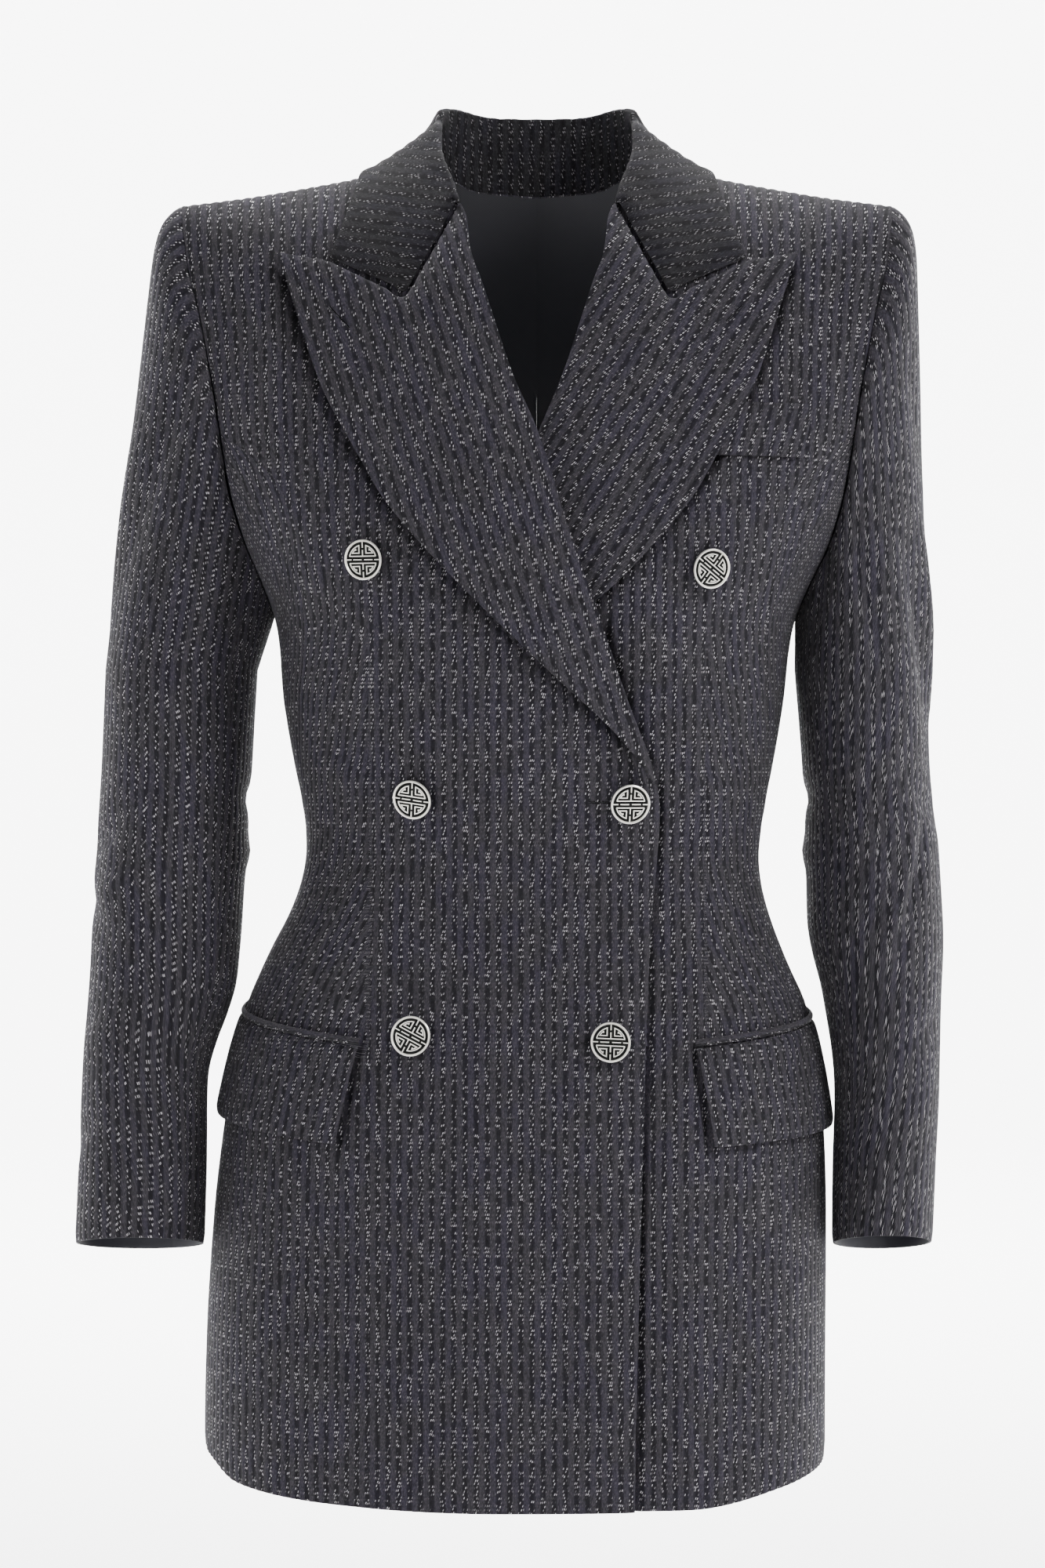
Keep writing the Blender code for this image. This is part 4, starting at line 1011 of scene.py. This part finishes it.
# Turns of the columns: 0 is at the outside and 90 in front
TOP_TURNS = [-118, -108, -97, -86, -76, -66, -57, -48, -40, -32, -25, -19, -14, -10, -7, -4, -2, 0, 2, 4, 7,
             10, 14, 19, 25, 32, 40, 49, 58, 68, 78, 88, 98, 108, 118, 128, 138]
UNDER_TURNS = [138, 146, 155, 164, 172, 181, 190, 199, 208, 216, 225, 233, 242]
UPPER_ARM_ROW = 39       # first fine row that runs level round the arm
HEAD_EASE = 0.65         # how far the head's cords keep the spacing of that row
TURN_LENGTH = 0.00095    # of cloth round the arm for each degree, for the creases' places
SLEEVE_FOLDS = 1.7       # how many times their table's heights the creases are deep
# Creases of the sleeves: turn, height to turn, height, half width, height of the fold
SLEEVE_CREASES = {
    "right": [
        (60, -0.385, 10, -0.405, 0.0080, -0.0018), (70, -0.420, 25, -0.432, 0.0070, 0.0014),
        (50, -0.455, -10, -0.430, 0.0075, -0.0015), (100, -0.395, 70, -0.350, 0.0070, -0.0016),
        (-40, -0.400, -90, -0.380, 0.0090, -0.0016), (60, -0.130, 30, -0.235, 0.0110, -0.0018),
        (20, -0.150, 5, -0.260, 0.0100, 0.0016), (75, -0.500, 20, -0.520, 0.0090, 0.0012),
        (110, -0.200, 85, -0.300, 0.0090, -0.0020), (45, -0.560, 0, -0.580, 0.0080, -0.0010),
        (-70, -0.150, -40, -0.250, 0.0100, -0.0015), (-80, -0.460, -30, -0.480, 0.0080, 0.0012),
    ],
    "left": [
        (20, -0.222, 4, -0.318, 0.0090, 0.0026), (44, -0.230, 22, -0.330, 0.0090, -0.0018),
        (58, -0.402, 96, -0.482, 0.0075, 0.0022), (40, -0.392, 72, -0.452, 0.0070, -0.0017),
        (10, -0.385, 50, -0.372, 0.0085, -0.0014), (105, -0.350, 75, -0.385, 0.0070, -0.0014),
        (20, -0.500, 70, -0.520, 0.0090, -0.0012), (-40, -0.400, -90, -0.384, 0.0090, -0.0016),
        (-70, -0.150, -40, -0.250, 0.0100, -0.0015), (100, -0.210, 78, -0.300, 0.0090, -0.0018),
        (30, -0.120, 16, -0.180, 0.0100, -0.0012), (-80, -0.470, -30, -0.486, 0.0080, 0.0012),
    ],
}
# Creases of both elbows, at the back
ELBOW = [(150, -0.372, 225, -0.380, 0.0075, -0.0016), (155, -0.410, 230, -0.402, 0.0075, 0.0013)]


def sleeve_ring(table, turn, z):
    """A point of the sleeve below the armhole; the turn starts at the outside and passes the front."""
    centre, half, depth_centre, half_depth, tilt = smooth_rows(table, z)
    side = -1 if centre < 0 else 1
    angle = math.radians(turn)
    x = centre + side * half * math.cos(angle)
    y = depth_centre - half_depth * math.sin(angle)
    return Vector((x, y, z - tilt * (y - depth_centre)))


def sleeve_point(side, table, turn, v):
    """A point of the sleeve: v from 0 at the armhole to 1 at the upper arm, then on to 2 at the cuff."""
    if v >= 1.0:
        return sleeve_ring(table, turn, mix(table[0][0], table[-1][0], v - 1.0))
    angle, z = smooth_rows(ARMHOLE, turn % 360)
    start = surface(side * angle, z)
    end = sleeve_ring(table, turn, table[0][0])
    turn_angle = math.radians(turn)
    out = Vector((side * math.cos(turn_angle), -math.sin(turn_angle), 0.0))
    share = (0.5 + 0.5 * math.cos(turn_angle)) ** 1.5
    gone = (end - start).length * v
    swell = SLEEVE_HEAD * share * (1.0 - math.exp(-gone / SLEEVE_HEAD_ROUND)) * (1.0 - v)
    return start.lerp(end, v) + out * swell


def sleeve_rows(side, table, turns):
    """Rows from the armhole to the cuff, clear of the armhole by a little more under the arm."""
    trim = math.degrees(0.6 * SEAM_GAP / ARM_RADIUS)
    turns = [turns[0] + trim] + turns[1:-1] + [turns[-1] - trim]
    rows = []
    for level in SLEEVE_LEVELS:
        row = []
        for turn in turns:
            v = level
            if level < 1.0:
                low, high = sleeve_point(side, table, turn, 1.0), sleeve_point(side, table, turn, 0.0)
                length = (low - high).length
                clear = SLEEVE_CLEAR * (1.6 - 0.6 * math.cos(math.radians(turn))) / length
                v = clear + (1.0 - clear) * level
            row.append(sleeve_point(side, table, turn, v))
        rows.append(row)
    return rows


for side, word in SIDES:
    table = SLEEVE_RIGHT if side < 0 else SLEEVE_LEFT
    for half, turns, across_factor in (("top", TOP_TURNS, 5), ("under", UNDER_TURNS, 6)):
        points = refined(sleeve_rows(side, table, turns), 3, across_factor, breaks=(13,))
        normals = face_normals(points, (side * 0.21, 0.0))
        turn_grid = spline_weights(len(turns), across_factor) @ np.array(turns, dtype=float)
        lengths = level_run(points)
        start = lengths[:, np.argmin(abs(turn_grid))][:, None] if half == "top" else 0.0
        u = side * (start - lengths)
        u[:UPPER_ARM_ROW] = (1.0 - HEAD_EASE) * u[:UPPER_ARM_ROW] + HEAD_EASE * u[UPPER_ARM_ROW]
        creases = [(a * TURN_LENGTH, za, b * TURN_LENGTH, zb, wide, high)
                   for a, za, b, zb, wide, high in SLEEVE_CREASES[word] + ELBOW]
        across = np.broadcast_to(turn_grid * TURN_LENGTH, u.shape)
        folds = SLEEVE_FOLDS * crease_heights(across, points[..., 2], creases)
        relief = cords(u) + edge_roll(points)
        uv = np.stack([u, -run_down(points)], axis=-1)
        piece = cloth_piece(f"sleeve_{half}_cloth_{word}", points, normals, folds, relief, uv, suiting,
                            lining)
        declare(piece, f"sleeve_{half}_{word}", points)


# Pockets
# Hip pockets with a piped mouth and a flap each, set across the side seams, and a plain welt pocket
# on the left breast. The flaps are lined and stand a little off the cloth.
FLAP_LIFT = (0.0024, 0.0062)     # of its face over the front, at the top and at the foot
FLAP_CORNER = 0.009      # radius of its front corner
FLAP_REACH = 0.14        # length of flap for each radian round the body
FLAP_ROLL = (0.0010, 0.0015)     # of its ends and foot, and of its top
FLAP_WALL = 0.0016
POCKET_CROWD = 1.15      # how much the columns crowd at the front end
JET_OVER = 0.5           # how far the jets reach past the flap, in degrees
JET_HEIGHT = 0.0052
JET_LIFT = 0.0034
JET_CROWN = 0.0014       # how much the jet rounds out
JET_SINK = 0.6           # share of its lift that it loses at the side end
JET_ROLL = (0.0006, 0.0020)      # at its top and at its foot
JET_CORD = 0.0045        # where a cord lies across it
TRIM_WALL = 0.0012       # of the jets and the welt
# The breast welt's top and foot: left and right ends from the middle, height
WELT_TOP = (0.0880, 0.1571, -0.1500)
WELT_BOTTOM = (0.0800, 0.1499, -0.1807)
WELT_LIFT = 0.0030
WELT_ROLL = 0.0005
WELT_ROWS = 6
WELT_COLUMNS = 12


def on_side(side, angle, z, height):
    """A point at a height above the body, over the front panel and the side panel alike."""
    angle = side * angle
    lift = front_lift(side, angle, z) if abs(angle) < PRINCESS[0][1] else 0.0
    return placed(angle, z, lift + height)[0]


def flap_rows(word, columns=30, steps=10):
    """Rows from the jets down to the flap's foot, with its front corner rounded."""
    side, start, end, top_front, top_side, low_front, low_side = FLAPS[word]
    rows = []
    for step in range(steps + 1):
        share = step / steps
        row = []
        for column in range(columns + 1):
            angle = mix(start + FLAP_SLANT * share, end, (column / columns) ** POCKET_CROWD)
            top = flap_line((top_front, top_side), angle)
            low = flap_line((low_front, low_side), angle)
            arc = math.radians(angle - start) * FLAP_REACH
            if arc < FLAP_CORNER:
                low += FLAP_CORNER - math.sqrt(FLAP_CORNER ** 2 - (FLAP_CORNER - arc) ** 2)
            lift = mix(*FLAP_LIFT, share ** 0.8)
            row.append(on_side(side, angle, mix(top, low, share), lift))
        rows.append(row)
    return rows


def jet_rows(word, columns=30):
    """Rows down the jet, just above the flap, rounded out and lower towards the side."""
    side, start, end, top_front, top_side, _, _ = FLAPS[word]
    rows = []
    for share in (0.0, 0.25, 0.5, 0.75, 1.0):
        crown = JET_LIFT + JET_CROWN * math.sin(math.pi * share)
        row = []
        for column in range(columns + 1):
            angle = mix(start - JET_OVER, end + JET_OVER, (column / columns) ** POCKET_CROWD)
            z = flap_line((top_front, top_side), angle) + SEAM_GAP * 2 + JET_HEIGHT * (1.0 - share)
            row.append(on_side(side, angle, z, crown * (1.0 - JET_SINK * (column / columns) ** 3)))
        rows.append(row)
    return rows


for side, word in SIDES:
    points = refined(jet_rows(word), 3, 5)
    relief = edge_roll(points, "t", JET_ROLL[0]) + edge_roll(points, "b", JET_ROLL[1])
    uv = np.stack([run_down(points) + JET_CORD, run_across(points)], axis=-1)
    jet = cloth_piece("jet_cloth_" + word, points, face_normals(points), np.zeros_like(relief), relief, uv,
                      suiting, suiting, TRIM_WALL)
    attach(jet, "root")
    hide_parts("jet_" + word)

    points = refined(flap_rows(word), 2, 5)
    u = side * run_across(points)
    relief = cords(u) + edge_roll(points, "lrb", FLAP_ROLL[0]) + edge_roll(points, "t", FLAP_ROLL[1])
    uv = np.stack([u, points[..., 2]], axis=-1)
    piece = cloth_piece("flap_cloth_" + word, points, face_normals(points), np.zeros_like(u), relief, uv,
                        suiting, lining, FLAP_WALL)
    declare(piece, "flap_" + word, points)

welt_rows = []
for step in range(WELT_ROWS + 1):
    left, right, z = [mix(top, low, step / WELT_ROWS) for top, low in zip(WELT_TOP, WELT_BOTTOM)]
    row = []
    for column in range(WELT_COLUMNS + 1):
        x = mix(left, right, column / WELT_COLUMNS)
        angle = angle_of(x, z)
        row.append(placed(angle, z, front_lift(1, angle, z) + WELT_LIFT)[0])
    welt_rows.append(row)
points = refined(welt_rows, 2, 5)
u = run_across(points)
relief = cords(u) + edge_roll(points, "lrt", WELT_ROLL)
welt = cloth_piece("breast_welt_cloth", points, face_normals(points), np.zeros_like(u), relief,
                   np.stack([u, points[..., 2]], axis=-1), suiting, suiting, TRIM_WALL)
declare(welt, "breast_welt", points)


# Buttons
# Cast metal buttons on shanks, plated and darkened in the hollows. Each bears a common round fret: a
# ring, a banded middle and a hooked line in each quarter, raised from the sunk field.
# Place over the front (x, height), lean to the side and up, how far it is pressed in, and its turn, the
# angles in degrees
BUTTONS = {
    "top_right": (-0.0959, -0.2395, 0.0, 0.0, 0.0, 0.0),
    "mid_right": (-0.0689, -0.3741, 4.0, 10.0, 0.0, -8.0),
    "low_right": (-0.0703, -0.5109, 3.0, 8.0, 0.0, -27.0),
    "top_left": (0.0962, -0.2443, -4.0, 6.0, 0.0, -35.0),
    "mid_left": (0.0510, -0.3768, 0.0, 0.0, 0.0, 0.0),
    "low_left": (0.0404, -0.5140, -3.0, 4.0, 0.0010, -3.0),
}
BUTTON_BACK = 0.0036     # height of its back over the cloth
BUTTON_LEAN = 0.35       # share of a lean that tilts the head, while the shank stays
BUTTON_SIDES = 64
# Turned section from the middle out and back to the shank: radius, height over the cloth
BUTTON_SECTION = [
    (0.0, 0.0054), (0.0050, 0.0054), (0.0099, 0.0053), (0.0101, 0.0056), (0.0103, 0.0063),
    (0.0106, 0.0066), (0.0110, 0.0066), (0.0113, 0.0064), (0.0115, 0.0059), (0.0115, 0.0052),
    (0.0111, 0.0044), (0.0100, 0.0039),
    (0.0040, 0.0036), (0.0028, 0.0034), (0.0027, 0.0008), (0.0, 0.0006),
]
FRET_HEIGHT = 0.0009     # of the raised lines over the sunk field
FRET_WIDTH = 0.00074
# The fret in millimetres: the hooked line of one quarter, which begins as an arc and is mirrored to the
# others, the bands on both sides of the middle, and the bars that lie level and upright
FRET_RADIUS = 8.35
FRET_ARC = (14.0, 75.0)          # in degrees
FRET_HOOK = [(2.15, 3.75), (6.3, 3.75), (5.45, 5.05), (4.25, 6.0), (4.1, 5.2)]
FRET_BAND = (8.2, 2.0)           # half length, distance from the middle
FRET_LEVEL = ((-10.2, -7.2), (-5.9, -0.9), (0.9, 5.9), (7.2, 10.2))
FRET_UPRIGHT = ((2.0, 5.6), (6.9, 10.2), (-2.0, -5.6), (-6.9, -10.2))
# Raised line's section: share of the width on each side, and whether it is at the top
FRET_SECTION = ((-0.46, False), (-0.34, True), (0.34, True), (0.46, False))
PLATE_GRAINS = 900.0             # a metre: about 1.1 mm, for the uneven wear


def plated_silver():
    """Silver-plated casting, bright on its worn edges and nearly black in its hollows."""
    finish, tree, shader = blank_material("antiqued_silver_plate")
    place = add(tree, "ShaderNodeAttribute", {}, attribute_name="height").outputs["Fac"]
    spot = add(tree, "ShaderNodeTexCoord", {}).outputs["Object"]
    grain = add(tree, "ShaderNodeTexNoise", {"Vector": spot, "Scale": PLATE_GRAINS, "Detail": 4.0})
    mixed = add(tree, "ShaderNodeMath", {0: grain, 1: 0.35, 2: place}, operation="MULTIPLY_ADD")
    bright = add(tree, "ShaderNodeMapRange", {0: mixed, 1: 0.40, 2: 0.85}, interpolation_type="SMOOTHSTEP")
    colour = add(tree, "ShaderNodeMix", {0: bright, 6: linear("#0a0a09"), 7: linear("#f4f0e8")},
                 data_type="RGBA")
    feed(tree, shader, {
        "Base Color": colour.outputs[2],
        "Roughness": add(tree, "ShaderNodeMapRange", {0: bright, 3: 0.62, 4: 0.30}),
        "Normal": add(tree, "ShaderNodeBump", {"Strength": 0.25, "Distance": 0.0002, "Height": grain}),
        "Metallic": add(tree, "ShaderNodeMapRange", {0: bright, 3: 0.2, 4: 0.78}),
        "Specular IOR Level": 0.2})
    return finish


def raised_line(points, width, low, high):
    """Vertices, faces and heights of one mitred line with sloping sides, in the button's plane."""
    points = [np.array(p, dtype=float) for p in points]
    verts, faces = [], []
    for k, point in enumerate(points):
        first = points[max(k - 1, 0)]
        last = points[min(k + 1, len(points) - 1)]
        to_here = (point - first) / max(np.linalg.norm(point - first), 1e-9)
        from_here = (last - point) / max(np.linalg.norm(last - point), 1e-9)
        if k == 0:
            to_here = from_here
        if k == len(points) - 1:
            from_here = to_here
        tangent = (to_here + from_here) / max(np.linalg.norm(to_here + from_here), 1e-9)
        cross = np.array((-tangent[1], tangent[0]))
        stretch = 1.0 / max(abs(np.dot(tangent, to_here)), 0.45)
        for across, raised in FRET_SECTION:
            spot = point + cross * across * width * stretch
            verts.append((spot[0], spot[1], high if raised else low))
    for k in range(len(points) - 1):
        for j in range(4):
            a, b = k * 4 + j, k * 4 + (j + 1) % 4
            faces.append((a, b, b + 4, a + 4))
    last = (len(points) - 1) * 4
    faces += [(3, 2, 1, 0), (last, last + 1, last + 2, last + 3)]
    return verts, faces


def fret_lines():
    """All raised lines of a button's face, in metres."""
    quarter = []
    for k in range(9):
        angle = math.radians(mix(*FRET_ARC, k / 8))
        quarter.append((FRET_RADIUS * math.cos(angle), FRET_RADIUS * math.sin(angle)))
    quarter += FRET_HOOK
    lines = [[(sx * x, sy * y) for x, y in quarter] for sx in (-1, 1) for sy in (-1, 1)]
    reach, off = FRET_BAND
    lines += [[(-reach, y), (reach, y)] for y in (-off, off)]
    lines += [[(start, 0.0), (end, 0.0)] for start, end in FRET_LEVEL]
    lines += [[(0.0, start), (0.0, end)] for start, end in FRET_UPRIGHT]
    return [[(x / 1000, y / 1000) for x, y in line] for line in lines]


def button_mesh(name):
    """A button round its own axis, with each point's height kept for the darkened hollows."""
    verts, faces = [], []
    rings = []
    for radius, height in BUTTON_SECTION:
        first = len(verts)
        count = 1 if radius == 0.0 else BUTTON_SIDES
        for k in range(count):
            turn = 2 * math.pi * k / BUTTON_SIDES
            verts.append((radius * math.cos(turn), radius * math.sin(turn), height))
        rings.append([first + k % count for k in range(BUTTON_SIDES)])
    for one, two in zip(rings, rings[1:]):
        for k in range(BUTTON_SIDES):
            after = (k + 1) % BUTTON_SIDES
            corners = [one[k], two[k], two[after], one[after]]
            face = [c for i, c in enumerate(corners) if c not in corners[:i]]
            faces.append(tuple(face))
    field = BUTTON_SECTION[0][1]
    for line in fret_lines():
        more, sides = raised_line(line, FRET_WIDTH, field - 0.0002, field + FRET_HEIGHT)
        first = len(verts)
        verts += more
        faces += [tuple(first + c for c in face) for face in sides]
    mesh = bpy.data.meshes.new(name)
    mesh.from_pydata(verts, [], faces)
    raised = mesh.attributes.new("height", "FLOAT", "POINT")
    raised.data.foreach_set("value", [min(max((v[2] - field) / FRET_HEIGHT, 0.0), 1.0) for v in verts])
    return mesh


silver = plated_silver()
for name, (x, z, lean_side, lean_up, seat, spin) in BUTTONS.items():
    side = 1 if name == "top_left" else -1
    angle = angle_of(x, z)
    point, normal = placed(angle, z, front_lift(side, angle, z) - seat)
    across = Vector((0, 0, 1)).cross(normal).normalized()
    up = normal.cross(across)
    mesh = button_mesh("button_face_" + name)
    lean_x, lean_y = [math.tan(math.radians(lean)) * BUTTON_LEAN for lean in (lean_side, lean_up)]
    turn = Matrix.Rotation(math.radians(spin), 3, "Z")
    for vert in mesh.vertices:
        flat = turn @ vert.co
        lean = min(max(flat.z - BUTTON_BACK, 0.0) / BUTTON_BACK, 1.0)
        rise = flat.z + (flat.x * lean_x + flat.y * lean_y) * lean
        vert.co = point + across * flat.x + up * flat.y + normal * rise
    mesh.materials.append(silver)
    mesh.shade_smooth()
    mesh.set_sharp_from_angle(angle=math.radians(32))
    face = set_down("button_face_" + name, mesh)
    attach(face, "root")
    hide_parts("button_" + name)


# Buttonholes
# Worked by machine with a grey twist: close stitches along both sides of a slit; no bar is drawn at its
# end.
# Two are worked near the lapels' peaks and two lie under the fastened buttons.
# Side of the front, start and end of the slit: x, height
HOLES = {
    "lapel_right": (-1, (-0.1190, -0.0940), (-0.1072, -0.1070)),
    "lapel_left": (1, (0.1173, -0.0935), (0.1076, -0.1032)),
    "mid": (-1, (0.0290, -0.3768), (0.0420, -0.3768)),
    "low": (-1, (0.0240, -0.5140), (0.0340, -0.5140)),
}
STITCH_STEP = 0.00045
STITCH_LENGTH = 0.0014
STITCH_THICKNESS = 0.00030
SLIT_HALF = 0.00048      # half width of the near-black strip painted as the slit's shadow
SLIT_RISE = 0.0004       # of the slit over the middle of the stitches
HOLE_STEPS = 8
HOLE_SINK = 0.0003       # how far the stitches bite into a lapel, towards the front
HOLE_LIFT = 0.0011       # of the stitches over the fronts' face
TWIST_GRAINS = 2500.0    # a metre, 0.4 mm: the turns of the thread
SLIT_SHADOW_GRAINS = 1500.0     # a metre, 0.7 mm: uneven tone of the slit's painted shadow


def polyester_twist():
    """Mercerised grey twist, a little glossier than the wool."""
    finish, tree, shader = blank_material("polyester_twist")
    spot = add(tree, "ShaderNodeTexCoord", {}).outputs["Object"]
    tone = add(tree, "ShaderNodeTexNoise", {"Vector": spot, "Scale": TWIST_GRAINS})
    colour = add(tree, "ShaderNodeMix", {0: tone, 6: linear("#3c3c40"), 7: linear("#77777b")},
                 data_type="RGBA")
    feed(tree, shader, {"Base Color": colour.outputs[2], "Roughness": 0.6})
    return finish


def stitch_tree(finish):
    """Close stitches across a line, one every step."""
    tree = bpy.data.node_groups.new("buttonhole_stitches", "GeometryNodeTree")
    tree.interface.new_socket("Line", in_out="INPUT", socket_type="NodeSocketGeometry")
    for name in ("Step", "Length", "Thickness"):
        tree.interface.new_socket(name, in_out="INPUT", socket_type="NodeSocketFloat")
    tree.interface.new_socket("Stitches", in_out="OUTPUT", socket_type="NodeSocketGeometry")
    given = add(tree, "NodeGroupInput", {})
    path = add(tree, "GeometryNodeMeshToCurve", {0: given.outputs["Line"]})
    points = add(tree, "GeometryNodeCurveToPoints", {"Curve": path, "Length": given.outputs["Step"]},
                 mode="LENGTH")
    ball = add(tree, "GeometryNodeMeshUVSphere", {"Segments": 6, "Rings": 4, "Radius": 0.5})
    size = add(tree, "ShaderNodeCombineXYZ", {0: given.outputs["Length"], 1: given.outputs["Thickness"],
                                              2: given.outputs["Thickness"]})
    placed_stitches = add(tree, "GeometryNodeInstanceOnPoints", {
        "Points": points, "Instance": ball, "Rotation": points.outputs["Rotation"], "Scale": size})
    real = add(tree, "GeometryNodeRealizeInstances", {0: placed_stitches})
    dressed = add(tree, "GeometryNodeSetMaterial", {0: real, "Material": finish})
    add(tree, "NodeGroupOutput", {0: dressed})
    return tree


def slit_shadow():
    """Painted shadow: a near-black sheet standing for the shaded inside of a cut buttonhole."""
    finish, tree, shader = blank_material("buttonhole_slit_painted_shadow")
    spot = add(tree, "ShaderNodeTexCoord", {}).outputs["Object"]
    tone = add(tree, "ShaderNodeTexNoise", {"Vector": spot, "Scale": SLIT_SHADOW_GRAINS})
    colour = add(tree, "ShaderNodeMix", {0: tone, 6: linear("#050506"), 7: linear("#101012")},
                 data_type="RGBA")
    feed(tree, shader, {"Base Color": colour.outputs[2], "Roughness": 1.0, "Specular IOR Level": 0.0})
    return finish


twist = polyester_twist()
# painted shadow for the buttonholes' slits
slit_painted_shadow = slit_shadow()
stitches = stitch_tree(twist)
for name, (side, start, end) in HOLES.items():
    line = []
    for k in range(HOLE_STEPS + 1):
        x, z = [mix(first, last, k / HOLE_STEPS) for first, last in zip(start, end)]
        if name.startswith("lapel"):
            face = lapel_faces[side]
            near = face[np.argmin((face[:, 0] - x) ** 2 + (face[:, 2] - z) ** 2)]
            line.append(Vector((x, float(near[1]) - HOLE_SINK, z)))
        else:
            angle = angle_of(x, z)
            line.append(placed(angle, z, front_lift(side, angle, z) + HOLE_LIFT)[0])
    mesh = bpy.data.meshes.new("buttonhole_" + name)
    mesh.from_pydata(line, [(k, k + 1) for k in range(HOLE_STEPS)], [])
    hole = set_down("buttonhole_" + name, mesh)
    worked = hole.modifiers.new("stitches", "NODES")
    worked.node_group = stitches
    sizes = {"Step": STITCH_STEP, "Length": STITCH_LENGTH, "Thickness": STITCH_THICKNESS}
    for item in stitches.interface.items_tree:
        if item.name in sizes:
            worked[item.identifier] = sizes[item.name]
    bpy.context.view_layer.update()
    done = bpy.data.meshes.new_from_object(hole.evaluated_get(bpy.context.evaluated_depsgraph_get()))
    hole.modifiers.remove(worked)
    hole.data = done
    hole.data.shade_smooth()
    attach(hole, "root")

    # A near-black strip along the slit: painted shadow of the cut's inside
    run = (line[-1] - line[0]).normalized()
    aside = run.cross(Vector((0.0, -1.0, 0.0))).normalized() * SLIT_HALF
    verts = [point + aside * k + Vector((0.0, -SLIT_RISE, 0.0)) for point in line for k in (-1, 1)]
    faces = [(2 * k, 2 * k + 1, 2 * k + 3, 2 * k + 2) for k in range(HOLE_STEPS)]
    slit_mesh = bpy.data.meshes.new("buttonhole_slit_" + name)
    slit_mesh.from_pydata(verts, [], faces)
    slit_mesh.materials.append(slit_painted_shadow)
    slit = set_down("buttonhole_slit_" + name, slit_mesh)
    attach(slit, "root")


# Studio
# A round sweep of pale matt paper, flat underfoot and turned up all round, wide enough for a camera
# that stands further off. Two soft boxes light the part from in front and one lights the paper
# behind it, under an even pale sky, and the camera is level with the waist.
FLOOR_Z = -1.05
SWEEP_RADIUS = 9.2
SWEEP_TURN = 2.0         # radius of the bend
SWEEP_TOP = 5.2
SWEEP_SIDES = 72
BEND_STEPS = 10
SKY_STRENGTH = 0.29
profile = [(0.0, 0.0), (SWEEP_RADIUS - SWEEP_TURN, 0.0)]
for k in range(1, BEND_STEPS + 1):
    angle = math.radians(90 / BEND_STEPS * k)
    inward, height = SWEEP_TURN * (1.0 - math.sin(angle)), SWEEP_TURN * (1.0 - math.cos(angle))
    profile.append((SWEEP_RADIUS - inward, height))
profile.append((SWEEP_RADIUS, SWEEP_TOP))
verts, faces = [], []
for radius, height in profile:
    for k in range(SWEEP_SIDES):
        turn = math.radians(360 / SWEEP_SIDES * k)
        verts.append((radius * math.cos(turn), radius * math.sin(turn), FLOOR_Z + height))
for ring in range(len(profile) - 1):
    for k in range(SWEEP_SIDES):
        a, b = ring * SWEEP_SIDES + k, ring * SWEEP_SIDES + (k + 1) % SWEEP_SIDES
        c, d = b + SWEEP_SIDES, a + SWEEP_SIDES
        faces.append((d, c, b, a) if ring else (a, d, c))
mesh = bpy.data.meshes.new("paper_sweep")
mesh.from_pydata(verts, [], faces)
mesh.shade_smooth()
paper_finish, paper_tree, paper_shader = blank_material("matt_paper")
paper_grain = add(paper_tree, "ShaderNodeTexNoise", {"Scale": 3.0})
paper_shade = add(paper_tree, "ShaderNodeMix", {0: paper_grain, 6: linear("#f4f4f4"), 7: linear("#fafafa")},
                  data_type="RGBA")
feed(paper_tree, paper_shader, {"Base Color": paper_shade.outputs[2], "Roughness": 0.9})
mesh.materials.append(paper_finish)
set_down("paper_sweep", mesh)

world = bpy.data.worlds.new("studio")
bpy.context.scene.world = world
world.use_nodes = True
feed(world.node_tree, world.node_tree.nodes["Background"], {0: linear("#ffffff"), 1: SKY_STRENGTH})

# Lamps: place, aim, width, height, watts
LAMPS = {
    "key_box": ((2.6, -1.9, 2.0), (0.0, 0.0, -0.25), 0.9, 0.9, 138.0),
    "second_box": ((-2.2, -2.4, 0.9), (0.0, 0.0, -0.35), 0.8, 1.2, 26.0),
    "paper_box": ((0.0, 2.8, 5.0), (0.0, 8.8, -0.6), 6.0, 1.6, 3950.0),
}
for name, (place, aim, width, height, watts) in LAMPS.items():
    lamp = bpy.data.lights.new(name, "AREA")
    lamp.shape = "RECTANGLE"
    lamp.size, lamp.size_y, lamp.energy = width, height, watts
    box = set_down(name, lamp)
    box.location = place
    box.rotation_euler = (Vector(aim) - Vector(place)).to_track_quat("-Z", "Y").to_euler()

CAMERA_PLACE = (-0.0085, -3.2, -0.367)
CAMERA_LENS = 125.2
camera = set_down("camera", bpy.data.cameras.new("camera"))
camera.location = CAMERA_PLACE
camera.rotation_euler = (math.radians(90), 0.0, 0.0)
camera.data.lens = CAMERA_LENS
camera.data.sensor_width = 36.0
bpy.context.scene.camera = camera
